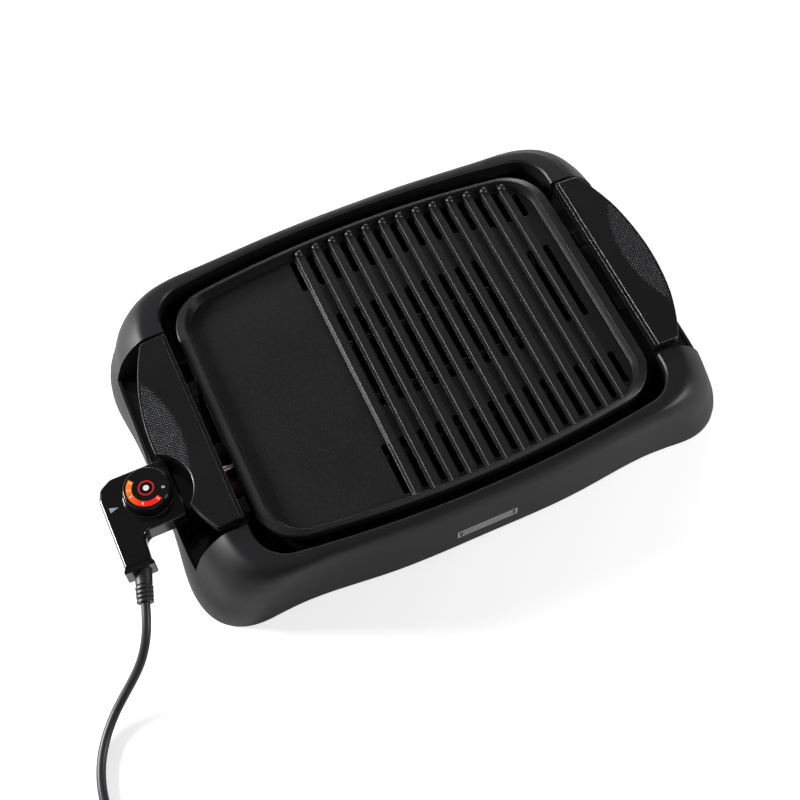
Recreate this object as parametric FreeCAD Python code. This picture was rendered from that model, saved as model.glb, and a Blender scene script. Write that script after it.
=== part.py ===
import FreeCAD, Part
import math
import os

V = FreeCAD.Vector

# Electric griddle: a moulded base with a drip tray, a cast cooking plate with two handles and
# a heating element under it, and a plug-in control with a dial and a mains lead.
# Millimetres, +Z up, the table at z = 0. Every function works about the middle of the base.
# The parts are moved at the end so that the whole object, lead left out, is centred on X = 0.

# ---- base -------------------------------------------------------------------
base_half_length = 242.0       # middle of the base to the outside of a corner foot, along X
base_half_width = 155.4        # middle of the base to the front wall, along Y
base_height = 84.0             # table to the top of the rim
base_bottom = 3.0              # table to the lower edge of the corner feet
base_wall = 2.6                # thickness of the moulded shell
side_bow = 1730.0              # radius of the long walls in plan
foot_reach = 36.0              # length of a corner foot along X, from its tip to its shoulder
foot_depth = 42.0              # length of a corner foot along Y
foot_run = 28.0                # length over which the long wall curves in to the shoulder
foot_corner = 12.2             # how far the rounded corner cuts in at its middle
foot_setback = 8.6             # how far the foot's shoulder is behind the middle of the wall
foot_lean = 9.0                # how far a corner foot's outside leans in by the low wall's top
end_lean = 1.2                 # how far the middle of an end wall leans in by its top
lean_profile = [(0.0, 0.0), (0.25, 0.08), (0.5, 0.28), (0.75, 0.59), (1.0, 1.0)]
end_waist = 4.0                # how far the end walls are behind the feet
end_wall_height = 36.0         # top of the low wall under each handle
dome_depth = 42.0              # how far the rim lies inside the foot, along X
dome_profile = [(0.21, 0.286), (0.417, 0.374), (0.56, 0.46), (0.694, 0.565), (0.79, 0.66),
                (0.875, 0.76), (0.94, 0.85), (0.98, 0.92), (1.0, 1.0)]
rim_round = 6.0                # width of the rounding along the top of the long walls
rim_round_height = 10.0        # its height
side_arch = 6.0                # rise of the long walls' lower edge between the feet
end_arch = 4.0                 # rise of the end walls' lower edge
tower_width = 58.4             # front or back wall to the gap that takes a handle
end_shelf = 58.0               # foot's tip to the opening in the top, along X
side_rim = 9.9                 # front or back wall to the opening, along Y
rim_side_bow = 1100.0
rim_corner = 30.0
rim_lip = 16.0                 # depth of the wall that hangs from the opening's edge
rim_edge_drop = 1.4            # depth and width of the bevel round the opening
rim_edge_width = 1.6
straight_bow = 9000.0          # bow radius of an edge that looks straight
moulding_gap = 0.3             # gap between two mouldings or two bodies that don't touch
fit_gap = 0.2                  # small clearance round a fitted piece
boss_wall = 1.2                # wall round a screw's head or shank
clear = 5.0                    # how far a cutter runs past what it cuts
hair = 0.01                    # overlap that keeps two faces from coinciding
side_arch_end = 70.0           # foot's tip to the end of the long walls' arch

# ---- inner tub, drip tray, feet ---------------------------------------------
tub_wall = 2.2
tub_floor = 14.0               # top of the tub's floor
shelf_step = 2.0               # low wall's top down to the shelf under each handle
pillar_from_side = 41.5        # plate's long edge to the middle of a pillar
pillar_from_end = 9.0          # plate's end to the middle of a pillar
pillar_radius = 4.0
pillar_web = 2.0
tray_side_gap = 9.5            # tray's flange to the opening's long edge
tray_corner = 30.0
tray_height = 24.0
tray_sheet = 1.2
tray_flange = 4.0
tray_lean = 5.0                # how far the tray's wall leans out
foot_radius = 10.0
foot_post_radius = 7.5
foot_stem_radius = 3.0
foot_edge = 0.8
foot_stem_top = 15.0
foot_from_end = 31.0           # foot's tip to the middle of its rubber pad
foot_from_side = 36.0
ear_from_end = 50.0            # foot's tip to the middle of a tub screw
ear_from_side = 22.0
ear_height = 28.0
ear_sheet = 2.5
base_screw_radius = 1.9
base_screw_head = 3.8
base_screw_head_height = 2.2
base_screw_bite = 12.0         # length of the thread in the base's post
screw_slot = 0.5               # half the width of the cross in a screw's head

# ---- badge ------------------------------------------------------------------
badge_half_length = 27.0
badge_height = 11.0
badge_middle = 31.0            # table to the middle of the badge
badge_depth = 1.2
badge_gap = 0.1
badge_setback = 0.25           # front wall's furthest point to the badge's face

# ---- cooking plate ----------------------------------------------------------
end_moat = 9.0                 # opening's end to the plate
side_moat = 11.0               # opening's long edge to the plate
plate_side_bow = 1000.0
plate_corner = 38.0
plate_drop = 9.0               # rim of the base down to the cooking surface
floor_sheet = 4.0
wall_rise = 7.5                # cooking surface to the top of the plate's rim
flange_width = 9.0             # plate's outer edge to the rim's inner edge, at the ends
flange_side_width = 4.6        # and along the long sides
flange_fall = 2.2              # how far the rim's top falls away outwards
crest_margin = 1.0             # how far the crest lies outside the rim's inner edge
wall_run = 3.0                 # how far the rim's inner wall leans out
plate_edge = 1.6               # rounding of the plate's outer edges
lane_pitch = 16.0              # distance from one rib to the next
lane_count = 14
last_lane_from_end = 23.8      # plate's right end to the last column of slots
slot_width = 5.6
rib_base = 10.0
rib_top = 6.0
rib_height = 4.2
rib_edge = 0.6                 # rounding of a rib's top edges
bump_radius = 4.0              # knob at a rib's back end
bump_level = 3.0
front_row_length = 61.1        # plate's front edge to the inner end of the front slots
back_row_length = 45.7
back_row_length_right = 55.3
row_gap = 31.9                 # between the rows of slots
row_gap_right = (39.4, 33.6)
slot_margin = 3.0              # between a slot's end and the foot of the rim's wall
short_lane = 10                # lane between the long and the short middle slots
short_lane_cut = 4.0           # how much longer its back slot is

# ---- heating element and terminals ------------------------------------------
element_radius = 3.5
element_bend = 12.0
element_row = 28.0             # half the distance between the two inner runs
element_from_side = 52.5       # plate's long edge to the outer runs
element_from_end = 40.0        # plate's right end to the turns
element_turn_from_left = 105.0
element_left_from_end = 50.0
terminal_drop = 15.0           # cooking surface down to the pins and the sensing rod
terminal_half_spacing = 18.5
terminal_wall_from_end = 5.0   # plate's left end to the bracket that holds the terminals
terminal_wall = 3.0
terminal_wall_half_height = 8.0
terminal_wall_margin = 9.0     # the bracket beyond the outer terminals
insulator_radius = 6.0
insulator_right = 7.0          # bracket to the bush's inner end
insulator_left = 14.5          # bracket to its outer end
insulator_collar = 1.2
pin_radius = 2.35
pin_reach = 36.0               # bracket to the pins' tips
pin_root_reach = 10.0          # bracket to where the element takes over
rod_radius = 3.0
rod_reach = 58.0               # bracket to the sensing rod's tip under the plate
sensor_tube_radius = 5.6
sensor_web = 2.5               # half the thickness of the web over the tube
sensor_tube_end = 4.0          # rod's tip to the closed end of the tube
terminal_tab = 6.0             # half the length of the bracket's fixing tab
terminal_tab_sheet = 1.5
running_gap = 0.05             # radial clearance of a shaft in its bore
strap_lanes = (4, 9)           # ribs over the outer and the inner straps
strap_half_width = 3.5
strap_sheet = 1.4
strap_screw_radius = 1.5
strap_screw_head = 2.8
strap_screw_head_height = 1.8
strap_end = 2.9                # strap's screw to its end

# ---- handles ----------------------------------------------------------------
handle_end_gap = 5.5           # handle's end to the tower
handle_end_width = 22.0        # opening's end to the outer edge at the handle's ends
handle_mid_width = 45.2        # and at its middle
handle_split_rise = 4.5        # cooking surface to where the two mouldings meet
handle_drop = 1.5              # cooking surface down to the underside
handle_inner_rise = 14.8       # cooking surface to the top, at the inner edge
handle_outer_rise = 11.0       # and at the outer edge
handle_wall = 3.0
handle_corner = 5.0
handle_inner_corner = 1.5
handle_edge = 1.2              # rounding of the top's edges
handle_ledge = 3.2             # width of the step along the inner edge
handle_ledge_depth = 0.8
scoop_radius = 950.0           # sphere that hollows the grip zone
scoop_half_length = 60.0
scoop_width = 27.0
arch_from_inner = 60.0         # round notch in the left handle, round the dial
arch_shift = -5.8              # its place along Y from the control's middle
arch_radius = 34.4
underside_inset = 0.7
underside_edge = 2.0
bracket_half_width = 7.0
bracket_sheet = 2.5
bracket_pad_from_end = 17.0    # plate's end to the bracket's screw
bracket_riser_gap = 2.0        # plate's end to the upright part
bracket_arm_reach = 28.0       # handle's inner edge to the end of the arm
bracket_arm_cut = 6.0          # how much shorter the arm near a handle's end is
bracket_drop = 14.2            # cooking surface down to the bracket's pad
bracket_row = 37.0
front_bracket_from_end = 13.5  # left handle's front end to its front bracket
boss_radius = 4.5
washer_radius = 6.5
washer_sheet = 1.2
bracket_screw_radius = 2.0
bracket_screw_head = 4.0
bracket_screw_head_height = 2.6
handle_screw_from_inner = 16.0
handle_screw_radius = 1.9
handle_screw_head = 3.8
handle_screw_head_height = 2.0
handle_screw_sink = 1.4        # depth of the screw's seat in the underside
handle_screw_bite = 5.0        # length of the thread in the top
hole_gap = 0.2                 # radial clearance of a screw in a plain hole

# ---- control ----------------------------------------------------------------
control_from_end = 58.0        # handle's front end to the middle of the terminals
control_gap = 38.0             # handle's inner edge to the control's inner face
control_length = 62.6          # along X
control_back_reach = 26.5      # middle of the terminals to the back face
control_front_reach = 28.5
leg_width = 23.8
leg_reach = 52.5               # middle of the terminals to the end of the leg
collar_length = 4.6
collar_flare = 1.5
collar_band = 2.0              # width of the collar's straight end
collar_drop = 1.0              # how far it lies below the control's top
collar_round = 1.4
leg_taper = 1.5
leg_round = 7.0                # inner corner between the leg and the body
control_corner = [(14.0, 0.0), (3.5, 6.0), (0.0, 16.0)]
control_corner_round = 9.0
control_inner_round = 4.0
control_below = 10.0           # terminals to the underside
control_above = 10.5           # terminals to the top
control_wall = 2.2
control_edge = 2.8             # rounding of the control's edges
control_split_gap = 0.1
nose_gap = 7.0                 # handle's inner edge to the nose
nose_corner = 3.0
nose_half_width = 23.5
nose_below = 7.5
nose_above = 7.0
sleeve_radius = 3.9
sleeve_length = 30.0
sleeve_setback = 0.5
rod_tip_round = 2.0
dial_from_face = 23.9          # control's inner face to the dial's axis
dial_base_radius = 19.4
dial_radius = 18.6
dial_height = 11.0
dial_cap_height = 2.0
dial_cap_edge = 0.8
dial_gap = 0.5
dial_flutes = 48
dial_flute_radius = 0.9
dial_shaft_radius = 3.0
dial_shaft_root = 3.6          # terminals to the shaft's lower end
dial_flare = 0.4               # how much wider the skirt's top is than the cap
dial_land = 3.0                # plain band between the flutes and the cap
dial_boss_radius = 21.0
dial_boss_height = 1.2
thermostat_half_length = 13.0
thermostat_half_width = 12.0
thermostat_gap = 3.0           # thermostat to the inside of the control's top
pointer_from_left = 9.2        # control's outer face to the middle of the pointer
pointer_shift = -0.7
pointer_length = 7.5
pointer_half_width = 2.4
pointer_depth = 0.8
housing_screw_radius = 1.4
housing_screw_head = 2.6
housing_screw_head_height = 1.6
housing_screw_sink = 2.0       # depth of the screw's seat in the underside
housing_screw_bite = 6.0       # length of the thread in the upper moulding
housing_screw_in = 7.5         # control's edges to the middle of a screw
housing_screw_back = 27.0
housing_screw_front = 14.0
housing_post_radius = 3.4

# ---- mains lead -------------------------------------------------------------
cord_radius = 3.75
bend_share = 0.45              # share of a run that each of its bends takes
relief_from_left = 12.0        # control's outer face to the strain relief's middle
relief_sleeve_radius = 7.2
relief_root = 6.0              # length of the sleeve held inside the control
relief_taper = 0.5
relief_sleeve_share = 0.42     # how much of the relief is a plain sleeve
relief_core_radius = 5.2
relief_end_radius = 4.6
relief_ring_radius = 7.2
relief_ring = 2.0              # thickness of a ring
relief_rings = 4
cord_route = [
    V(-279.5, -114.0, 57.6),
    V(-284.0, -128.5, 54.6),
    V(-290.8, -141.0, 47.4),
    V(-299.5, -150.0, 36.9),
    V(-310.2, -156.5, 26.0),
    V(-322.5, -163.0, 16.2),
    V(-335.5, -172.0, 8.6),
    V(-348.0, -185.5, 4.5),
    V(-358.0, -203.0, 3.9),
    V(-364.0, -224.0, 3.9),
    V(-365.0, -247.0, 3.9),
    V(-361.0, -269.0, 3.9),
    V(-352.5, -288.5, 4.0),
    V(-341.5, -304.0, 4.3),
    V(-331.5, -316.0, 4.7),
    V(-325.0, -330.0, 5.0),
]
tail_route = [
    V(-276.0, -375.2, 12.2),
    V(-256.0, -374.5, 10.5),
    V(-236.0, -371.5, 8.2),
    V(-217.0, -366.5, 7.6),
]
coil_middle = V(-280.0, -330.0, 1.2)
coil_radius = 41.0             # centre of the coil to the middle of its turns
coil_width = 15.5              # across the bundle of turns
coil_height = 15.5
tie_turn = 225.0               # place of the tie round the coil, degrees from +X
tie_half_width = 6.0
tie_sheet = 1.2
tie_gap = (0.4, 0.2)           # between the tie and the bundle, inside and outside
plug_relief_length = 18.0
plug_relief_radius = 6.0
plug_sleeve_wall = 0.5
plug_rings = 3
plug_ring_pitch = 4.3
plug_lift = 0.1                # gap between the plug and the table
plug_length = 33.0
plug_half_width = 15.0
plug_half_height = 7.4
plug_corner = 5.0
plug_pin_radius = 2.0
plug_pin_length = 19.0
plug_pin_spacing = 9.5

# ---- places worked out from the sizes above ---------------------------------
SIGNS = (1, -1)
end_gap_half = base_half_width - tower_width
rim_half_length = base_half_length - end_shelf
rim_half_width = base_half_width - side_rim
lip_bottom = base_height - rim_lip
shelf_top = end_wall_height - shelf_step
foot_x = base_half_length - foot_from_end
foot_y = base_half_width - foot_setback - foot_from_side
ear_x = base_half_length - ear_from_end
ear_y = base_half_width - foot_setback - ear_from_side

plate_half_length = rim_half_length - end_moat
plate_half_width = rim_half_width - side_moat
plate_floor = base_height - plate_drop
plate_underside = plate_floor - floor_sheet
plate_top = plate_floor + wall_rise
first_lane = plate_half_length - last_lane_from_end - (lane_count - 1) * lane_pitch
front_row_start = front_row_length - plate_half_width
back_row_start = plate_half_width - back_row_length
back_row_start_right = plate_half_width - back_row_length_right
middle_row = (front_row_start + row_gap, back_row_start - row_gap)
middle_row_right = (front_row_start + row_gap_right[0], back_row_start_right - row_gap_right[1])

pillar_x = plate_half_length - pillar_from_end
pillar_y = plate_half_width - pillar_from_side
tray_half_length = pillar_x - pillar_radius - 2.0
tray_half_width = rim_half_width - tray_side_gap

handle_inner = rim_half_length
handle_half_length = end_gap_half - handle_end_gap
handle_end_x = handle_inner + handle_end_width
handle_mid_x = handle_inner + handle_mid_width
handle_split = plate_floor + handle_split_rise
handle_bottom = plate_floor - handle_drop
handle_top_inner = plate_floor + handle_inner_rise
handle_top_outer = plate_floor + handle_outer_rise
handle_screw_x = handle_inner + handle_screw_from_inner
handle_screw_seat = handle_bottom + handle_screw_sink
bracket_level = handle_bottom + handle_wall
bracket_pad_top = plate_floor - bracket_drop
bracket_pad_x = plate_half_length - bracket_pad_from_end
bracket_riser_x = plate_half_length + bracket_riser_gap
bracket_arm_end = handle_inner + bracket_arm_reach
front_bracket_y = front_bracket_from_end - handle_half_length
right_bracket_y = (bracket_row, -bracket_row)
left_bracket_y = (bracket_row, front_bracket_y)
bracket_places = [(1, y) for y in right_bracket_y] + [(-1, y) for y in left_bracket_y]

terminal_height = plate_floor - terminal_drop
terminal_middle = control_from_end - handle_half_length
terminal_rows = (terminal_middle + terminal_half_spacing, terminal_middle - terminal_half_spacing)
terminal_wall_x = terminal_wall_from_end - plate_half_length
terminal_top = terminal_height + terminal_wall_half_height
pin_tip = terminal_wall_x - pin_reach
pin_root = terminal_wall_x + pin_root_reach
rod_tip = terminal_wall_x + rod_reach
element_height = plate_underside - element_radius
element_outer_row = plate_half_width - element_from_side
element_right = plate_half_length - element_from_end
element_turn = element_turn_from_left - plate_half_length
element_left = element_left_from_end - plate_half_length
strap_screw_offset = element_radius + strap_screw_head + 1.3
strap_half_length = strap_screw_offset + strap_end

control_right = -handle_inner - control_gap
control_left = control_right - control_length
control_back = terminal_middle + control_back_reach
control_front = terminal_middle - control_front_reach
leg_right = control_left + leg_width
leg_front = terminal_middle - leg_reach
collar_front = leg_front - collar_length
control_bottom = terminal_height - control_below
control_top = terminal_height + control_above
housing_screw_seat = control_bottom + housing_screw_sink
nose_right = -handle_inner - nose_gap
nose_back = terminal_middle + nose_half_width
nose_front = terminal_middle - nose_half_width
nose_bottom = terminal_height - nose_below
nose_top = terminal_height + nose_above
dial_x = control_right - dial_from_face
dial_y = terminal_middle
dial_bottom = control_top + dial_boss_height + dial_gap
rod_root = dial_x + dial_shaft_radius * 1.6
arch_x = -handle_inner - arch_from_inner
arch_y = terminal_middle + arch_shift
pointer_x = control_left + pointer_from_left
pointer_y = terminal_middle + pointer_shift
relief_start = V(control_left + relief_from_left, collar_front, terminal_height)
relief_end = cord_route[0]


# ---- helpers ----------------------------------------------------------------
def box(x0, x1, y0, y1, z0, z1):
    """A box between two values on each axis, given in either order."""
    low = V(min(x0, x1), min(y0, y1), min(z0, z1))
    return Part.makeBox(abs(x1 - x0), abs(y1 - y0), abs(z1 - z0), low)


def rod(radius, start, end):
    """A round bar from one point to another."""
    axis = end.sub(start)
    return Part.makeCylinder(radius, axis.Length, start, axis)


def post(radius, x, y, z0, z1):
    """An upright round bar."""
    return rod(radius, V(x, y, z0), V(x, y, z1))


def join(shapes):
    """One solid from several that touch or overlap."""
    return shapes[0].multiFuse(shapes[1:]).removeSplitter()


def remove(shape, cutters):
    """The shape with every cutter taken away."""
    return shape.cut(Part.makeCompound(cutters))


def bowed_wire(half_length, half_width, side_radius, end_radius, corner, z):
    """A rounded rectangle whose four sides bow outwards, at height z."""
    side_centre = V(0, half_width - side_radius, 0)
    end_centre = V(half_length - end_radius, 0, 0)
    to_side = side_radius - corner
    to_end = end_radius - corner
    between = end_centre.sub(side_centre)
    along = (between.Length ** 2 + to_side ** 2 - to_end ** 2) / (2 * between.Length)
    across = math.sqrt(to_side ** 2 - along ** 2)
    unit = V(between).normalize()
    centre = side_centre + unit * along + V(unit.y, -unit.x, 0) * across
    side_way = centre.sub(side_centre).normalize()
    end_way = centre.sub(end_centre).normalize()
    side_point = side_centre + side_way * side_radius
    end_point = end_centre + end_way * end_radius
    corner_point = centre + V(side_way + end_way).normalize() * corner

    def at(point, sx, sy):
        return V(point.x * sx, point.y * sy, z)

    edges = []
    for sx, sy in ((1, 1), (-1, 1), (-1, -1), (1, -1)):
        pair = (end_point, side_point) if sx * sy > 0 else (side_point, end_point)
        edges.append(Part.Arc(at(pair[0], sx, sy), at(corner_point, sx, sy), at(pair[1], sx, sy)))
        if sx * sy > 0:
            top = V(0, half_width * sy, z)
            edges.append(Part.Arc(at(side_point, sx, sy), top, at(side_point, -sx, sy)))
        else:
            top = V(half_length * sx, 0, z)
            edges.append(Part.Arc(at(end_point, sx, sy), top, at(end_point, sx, -sy)))
    return Part.Wire([arc.toShape() for arc in edges])


def prism(wire, height):
    """A closed flat outline pulled straight up."""
    return Part.Face(wire).extrude(V(0, 0, height))


def rim_wire(offset, z):
    """The opening in the top of the base, made larger by offset."""
    return bowed_wire(rim_half_length + offset, rim_half_width + offset, rim_side_bow + offset,
                      straight_bow, rim_corner + offset, z)


def rim_prism(offset, z0, z1):
    return prism(rim_wire(offset, z0), z1 - z0)


def plate_wire(length_in, width_in, z):
    """The cooking plate's outline, moved in along X and Y."""
    return bowed_wire(plate_half_length - length_in, plate_half_width - width_in,
                      plate_side_bow - width_in, straight_bow, plate_corner - width_in, z)


def tube_along(points, bends, radius):
    """A round bar along straight runs joined by tangent arcs; bends holds one radius per corner."""
    edges = []
    start = points[0]
    for before, corner, after, bend in zip(points, points[1:], points[2:], bends):
        way_in = corner.sub(before).normalize()
        way_out = after.sub(corner).normalize()
        half_turn = way_in.getAngle(way_out) / 2
        reach = bend * math.tan(half_turn)
        arc_start = corner - way_in * reach
        arc_end = corner + way_out * reach
        inward = V(way_out - way_in).normalize()
        centre = corner + inward * (bend / math.cos(half_turn))
        edges.append(Part.LineSegment(start, arc_start).toShape())
        edges.append(Part.Arc(arc_start, centre - inward * bend, arc_end).toShape())
        start = arc_end
    edges.append(Part.LineSegment(start, points[-1]).toShape())
    path = Part.Wire(edges)
    section = Part.Wire(Part.Circle(points[0], points[1].sub(points[0]), radius).toShape())
    return path.makePipeShell([section], True, False), path.Length


def fillet_upright(shape, places, radius):
    """Rounds the upright edges that stand at the given plan points."""
    edges = []
    for edge in shape.Edges:
        low, high = edge.BoundBox.ZMin, edge.BoundBox.ZMax
        middle = edge.BoundBox.Center
        upright = high - low > 1 and edge.BoundBox.DiagonalLength - (high - low) < 0.01
        if upright and any(math.hypot(middle.x - x, middle.y - y) < 0.1 for x, y in places):
            edges.append(edge)
    return shape.makeFillet(radius, edges)


def edges_at(shape, z, keep=lambda edge: True):
    """The edges that lie flat at height z."""
    found = []
    for edge in shape.Edges:
        level = abs(edge.BoundBox.ZMin - z) < 0.01 and abs(edge.BoundBox.ZMax - z) < 0.01
        if level and keep(edge):
            found.append(edge)
    return found


# ---- base -------------------------------------------------------------------
def base_wire(z, foot_in, middle_in, width_in):
    """The base's smooth outline at one height: bowed walls and four rounded corner feet."""
    tip = base_half_length - foot_in
    middle = base_half_length - end_waist - middle_in
    width = base_half_width - width_in
    shoulder = width - foot_setback
    waist = tip - foot_reach - foot_run
    quarter = [
        (0, width),
        (waist / 2, width - (waist / 2) ** 2 / (2 * side_bow)),
        (waist, width - waist ** 2 / (2 * side_bow)),
        (tip - foot_reach, shoulder),
        (tip - foot_corner, shoulder - foot_corner),
        (tip, shoulder - foot_depth),
        ((tip + middle * 2) / 3, (shoulder - foot_depth) / 2),
        (middle, 0),
    ]
    back = quarter[::-1]
    outline = [V(x, y, z) for x, y in quarter]
    outline += [V(x, -y, z) for x, y in back[1:]]
    outline += [V(-x, -y, z) for x, y in quarter[1:]]
    outline += [V(-x, y, z) for x, y in back[1:-1]]
    curve = Part.BSplineCurve()
    curve.interpolate(Points=outline, PeriodicFlag=True)
    return Part.Wire(curve.toShape())


def base_form(inset, bottom):
    """The base's outer shape as a solid, moved in by inset at the walls and the top."""
    wires = []
    for rise, share in lean_profile:
        wires.append(base_wire(bottom + (end_wall_height - bottom) * rise,
                               foot_lean * share + inset, end_lean * share + inset, inset))
    for rise, share in dome_profile:
        z = end_wall_height + (base_height - end_wall_height) * rise
        foot_in = dome_depth * share
        middle_in = foot_in - foot_lean + end_lean
        into_round = max(0.0, (z - base_height + rim_round_height) / rim_round_height)
        width_in = rim_round * (1 - math.sqrt(1 - min(1.0, into_round) ** 2))
        wires.append(base_wire(z - inset * rise, foot_in + inset, middle_in + inset, width_in + inset))
    return Part.makeLoft(wires, True, True)


def corner_places(x, y):
    return [(sx * x, sy * y) for sx in SIGNS for sy in SIGNS]


def base_housing(form):
    """Outer shell with a hanging lip round its opening, closed cheeks beside each handle gap."""
    cavity = base_form(base_wall, -1.0)
    shell = form.cut(cavity)
    inside = [rim_prism(base_wall, lip_bottom, base_height)]
    far = base_half_length + clear
    for sx in SIGNS:
        for sy in SIGNS:
            inside.append(box(sx * (rim_half_length + tub_wall + moulding_gap), sx * far,
                              sy * end_gap_half, sy * (end_gap_half + base_wall),
                              shelf_top - tub_wall, base_height))
    for x, y in corner_places(foot_x, foot_y):
        inside.append(post(foot_post_radius, x, y, base_bottom + fit_gap, base_height))
    for x, y in corner_places(ear_x, ear_y):
        inside.append(post(base_screw_head + boss_wall, x, y, ear_height + moulding_gap, base_height))
    housing = join([shell] + [piece.common(form) for piece in inside])
    bevel = Part.makeLoft([rim_wire(0, base_height - rim_edge_drop),
                           rim_wire(rim_edge_width, base_height + fit_gap)], True, True)
    cuts = [rim_prism(0, -clear, base_height + clear), bevel]
    for sx in SIGNS:
        cuts.append(box(sx * (rim_half_length - rim_corner), sx * far, -end_gap_half, end_gap_half,
                        end_wall_height, base_height + clear))
    side_radius = ((base_half_length - side_arch_end) ** 2 + side_arch ** 2) / (2 * side_arch)
    end_radius = ((end_gap_half - 2.0) ** 2 + end_arch ** 2) / (2 * end_arch)
    side_level = base_bottom + side_arch - side_radius
    end_level = base_bottom + end_arch - end_radius
    wide = base_half_width + clear
    cuts.append(rod(side_radius, V(0, -wide, side_level), V(0, wide, side_level)))
    cuts.append(rod(end_radius, V(-far, 0, end_level), V(far, 0, end_level)))
    for x, y in corner_places(foot_x, foot_y):
        cuts.append(post(foot_stem_radius, x, y, 0, foot_stem_top + 1))
    for x, y in corner_places(ear_x, ear_y):
        cuts.append(post(base_screw_radius, x, y, 0, ear_height + base_screw_bite + 2))
    cuts.append(badge_box(0.0))
    return remove(housing, cuts)


def badge_box(gap):
    """The space of the front badge."""
    face = -base_half_width + badge_setback
    return box(-badge_half_length + gap, badge_half_length - gap, face - 1 + gap, face + badge_depth,
               badge_middle - badge_height / 2 + gap, badge_middle + badge_height / 2 - gap)


def front_badge():
    """Blank badge let into the front wall, flush with it."""
    front = -base_half_width + badge_setback / 5
    room = box(-badge_half_length, badge_half_length, front, 0, 0, base_height)
    return badge_box(badge_gap).common(room)


def base_tub():
    """Inner tub: walls under the rim, floor, a shelf under each handle, pillars for the plate."""
    top = lip_bottom - moulding_gap
    bottom = tub_floor - tub_wall
    shelf_half = end_gap_half - moulding_gap
    walls = rim_prism(tub_wall, bottom, top).cut(rim_prism(0, tub_floor, top + clear))
    for sx in SIGNS:
        walls = walls.cut(box(sx * (rim_half_length - rim_corner), sx * (rim_half_length + rim_corner),
                              -shelf_half, shelf_half, shelf_top, top + clear))
    inner = base_form(base_wall + moulding_gap, -1.0)
    pieces = [walls]
    edge = rim_half_length + tub_wall / 4
    for sx in SIGNS:
        shelf = box(sx * edge, sx * (base_half_length + clear), -shelf_half, shelf_half,
                    shelf_top - tub_wall, shelf_top)
        pieces.append(shelf.common(inner))
    for x, y in corner_places(pillar_x, pillar_y):
        pieces.append(post(pillar_radius, x, y, bottom, plate_underside - moulding_gap))
        pieces.append(box(x, math.copysign(edge, x), y - pillar_web / 2, y + pillar_web / 2,
                          bottom, shelf_top - tub_wall))
    for x, y in corner_places(ear_x, ear_y):
        low = ear_height - ear_sheet
        web = [V(x, y, low), V(math.copysign(rim_half_length - rim_corner, x), y, low),
               V(math.copysign(rim_half_length - pillar_radius, x), y * 0.85, low), V(x, y, low)]
        ear = join([post(base_screw_head + boss_wall, x, y, low, ear_height),
                    prism(Part.makePolygon(web), ear_sheet)])
        pieces.append(ear.cut(rim_prism(tub_wall / 4, 0, top)))
    tub = join(pieces)
    return remove(tub, [post(base_screw_radius + hole_gap, x, y, 0, ear_height + clear)
                        for x, y in corner_places(ear_x, ear_y)])


def base_screws():
    """Four screws that hold the tub to the base from below."""
    screws = []
    for x, y in corner_places(ear_x, ear_y):
        under = ear_height - ear_sheet
        low = under - base_screw_head_height
        head = post(base_screw_head, x, y, low, under)
        shank = post(base_screw_radius, x, y, under, ear_height + base_screw_bite)
        long, narrow, deep = base_screw_head * 0.7, screw_slot, low + base_screw_head_height / 3
        one_way = box(x - long, x + long, y - narrow, y + narrow, low - clear, deep)
        other_way = box(x - narrow, x + narrow, y - long, y + long, low - clear, deep)
        screws.append(remove(join([head, shank]), [one_way, other_way]))
    return Part.makeCompound(screws)


def rubber_feet():
    """Four feet with stems plugged into the base's corner posts."""
    feet = []
    for x, y in corner_places(foot_x, foot_y):
        pad = post(foot_radius, x, y, 0, base_bottom)
        pad = pad.makeFillet(foot_edge, edges_at(pad, 0))
        feet.append(join([pad, post(foot_stem_radius, x, y, base_bottom - 1, foot_stem_top)]))
    return Part.makeCompound(feet)


def drip_tray():
    """Thin tray with a turned-out flange, lying on the tub's floor."""
    bottom = tub_floor + moulding_gap
    wall_length = tray_half_length - tray_flange
    wall_width = tray_half_width - tray_flange

    def outline(grow, z):
        return bowed_wire(wall_length + grow, wall_width + grow, plate_side_bow, straight_bow,
                          tray_corner + grow, z)

    outside = Part.makeLoft([outline(-tray_lean, bottom), outline(0, bottom + tray_height)], True, True)
    inside = Part.makeLoft([outline(-tray_lean - tray_sheet, bottom + tray_sheet),
                            outline(-tray_sheet, bottom + tray_height + hair)], True, True)
    flange = prism(outline(tray_flange, bottom + tray_height - tray_sheet), tray_sheet)
    tray = join([outside, flange])
    return tray.cut(inside)


# ---- cooking plate ----------------------------------------------------------
def pan_space():
    """The space over the cooking surface, inside the sloping wall."""
    low = plate_wire(flange_width + wall_run, flange_side_width + wall_run, plate_floor)
    high = plate_wire(flange_width, flange_side_width, plate_top + hair)
    return Part.makeLoft([low, high], True, True)


def floor_edge(x):
    """Half-width of the cooking surface at x."""
    width = plate_half_width - flange_side_width - wall_run
    bow = plate_side_bow - flange_side_width - wall_run
    corner = plate_corner - flange_side_width - wall_run
    corner_start = plate_half_length - flange_width - wall_run - corner
    edge = width - x ** 2 / (2 * bow)
    over = max(0.0, abs(x) - corner_start)
    return edge - (corner - math.sqrt(corner ** 2 - over ** 2))


def slot(x, y0, y1):
    """An upright cutter with round ends, for one slot."""
    radius = slot_width / 2
    z0, z1 = plate_underside - 1, plate_floor + rib_height + 1
    return join([box(x - radius, x + radius, y0 + radius, y1 - radius, z0, z1),
                 post(radius, x, y0 + radius, z0, z1),
                 post(radius, x, y1 - radius, z0, z1)])


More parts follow.
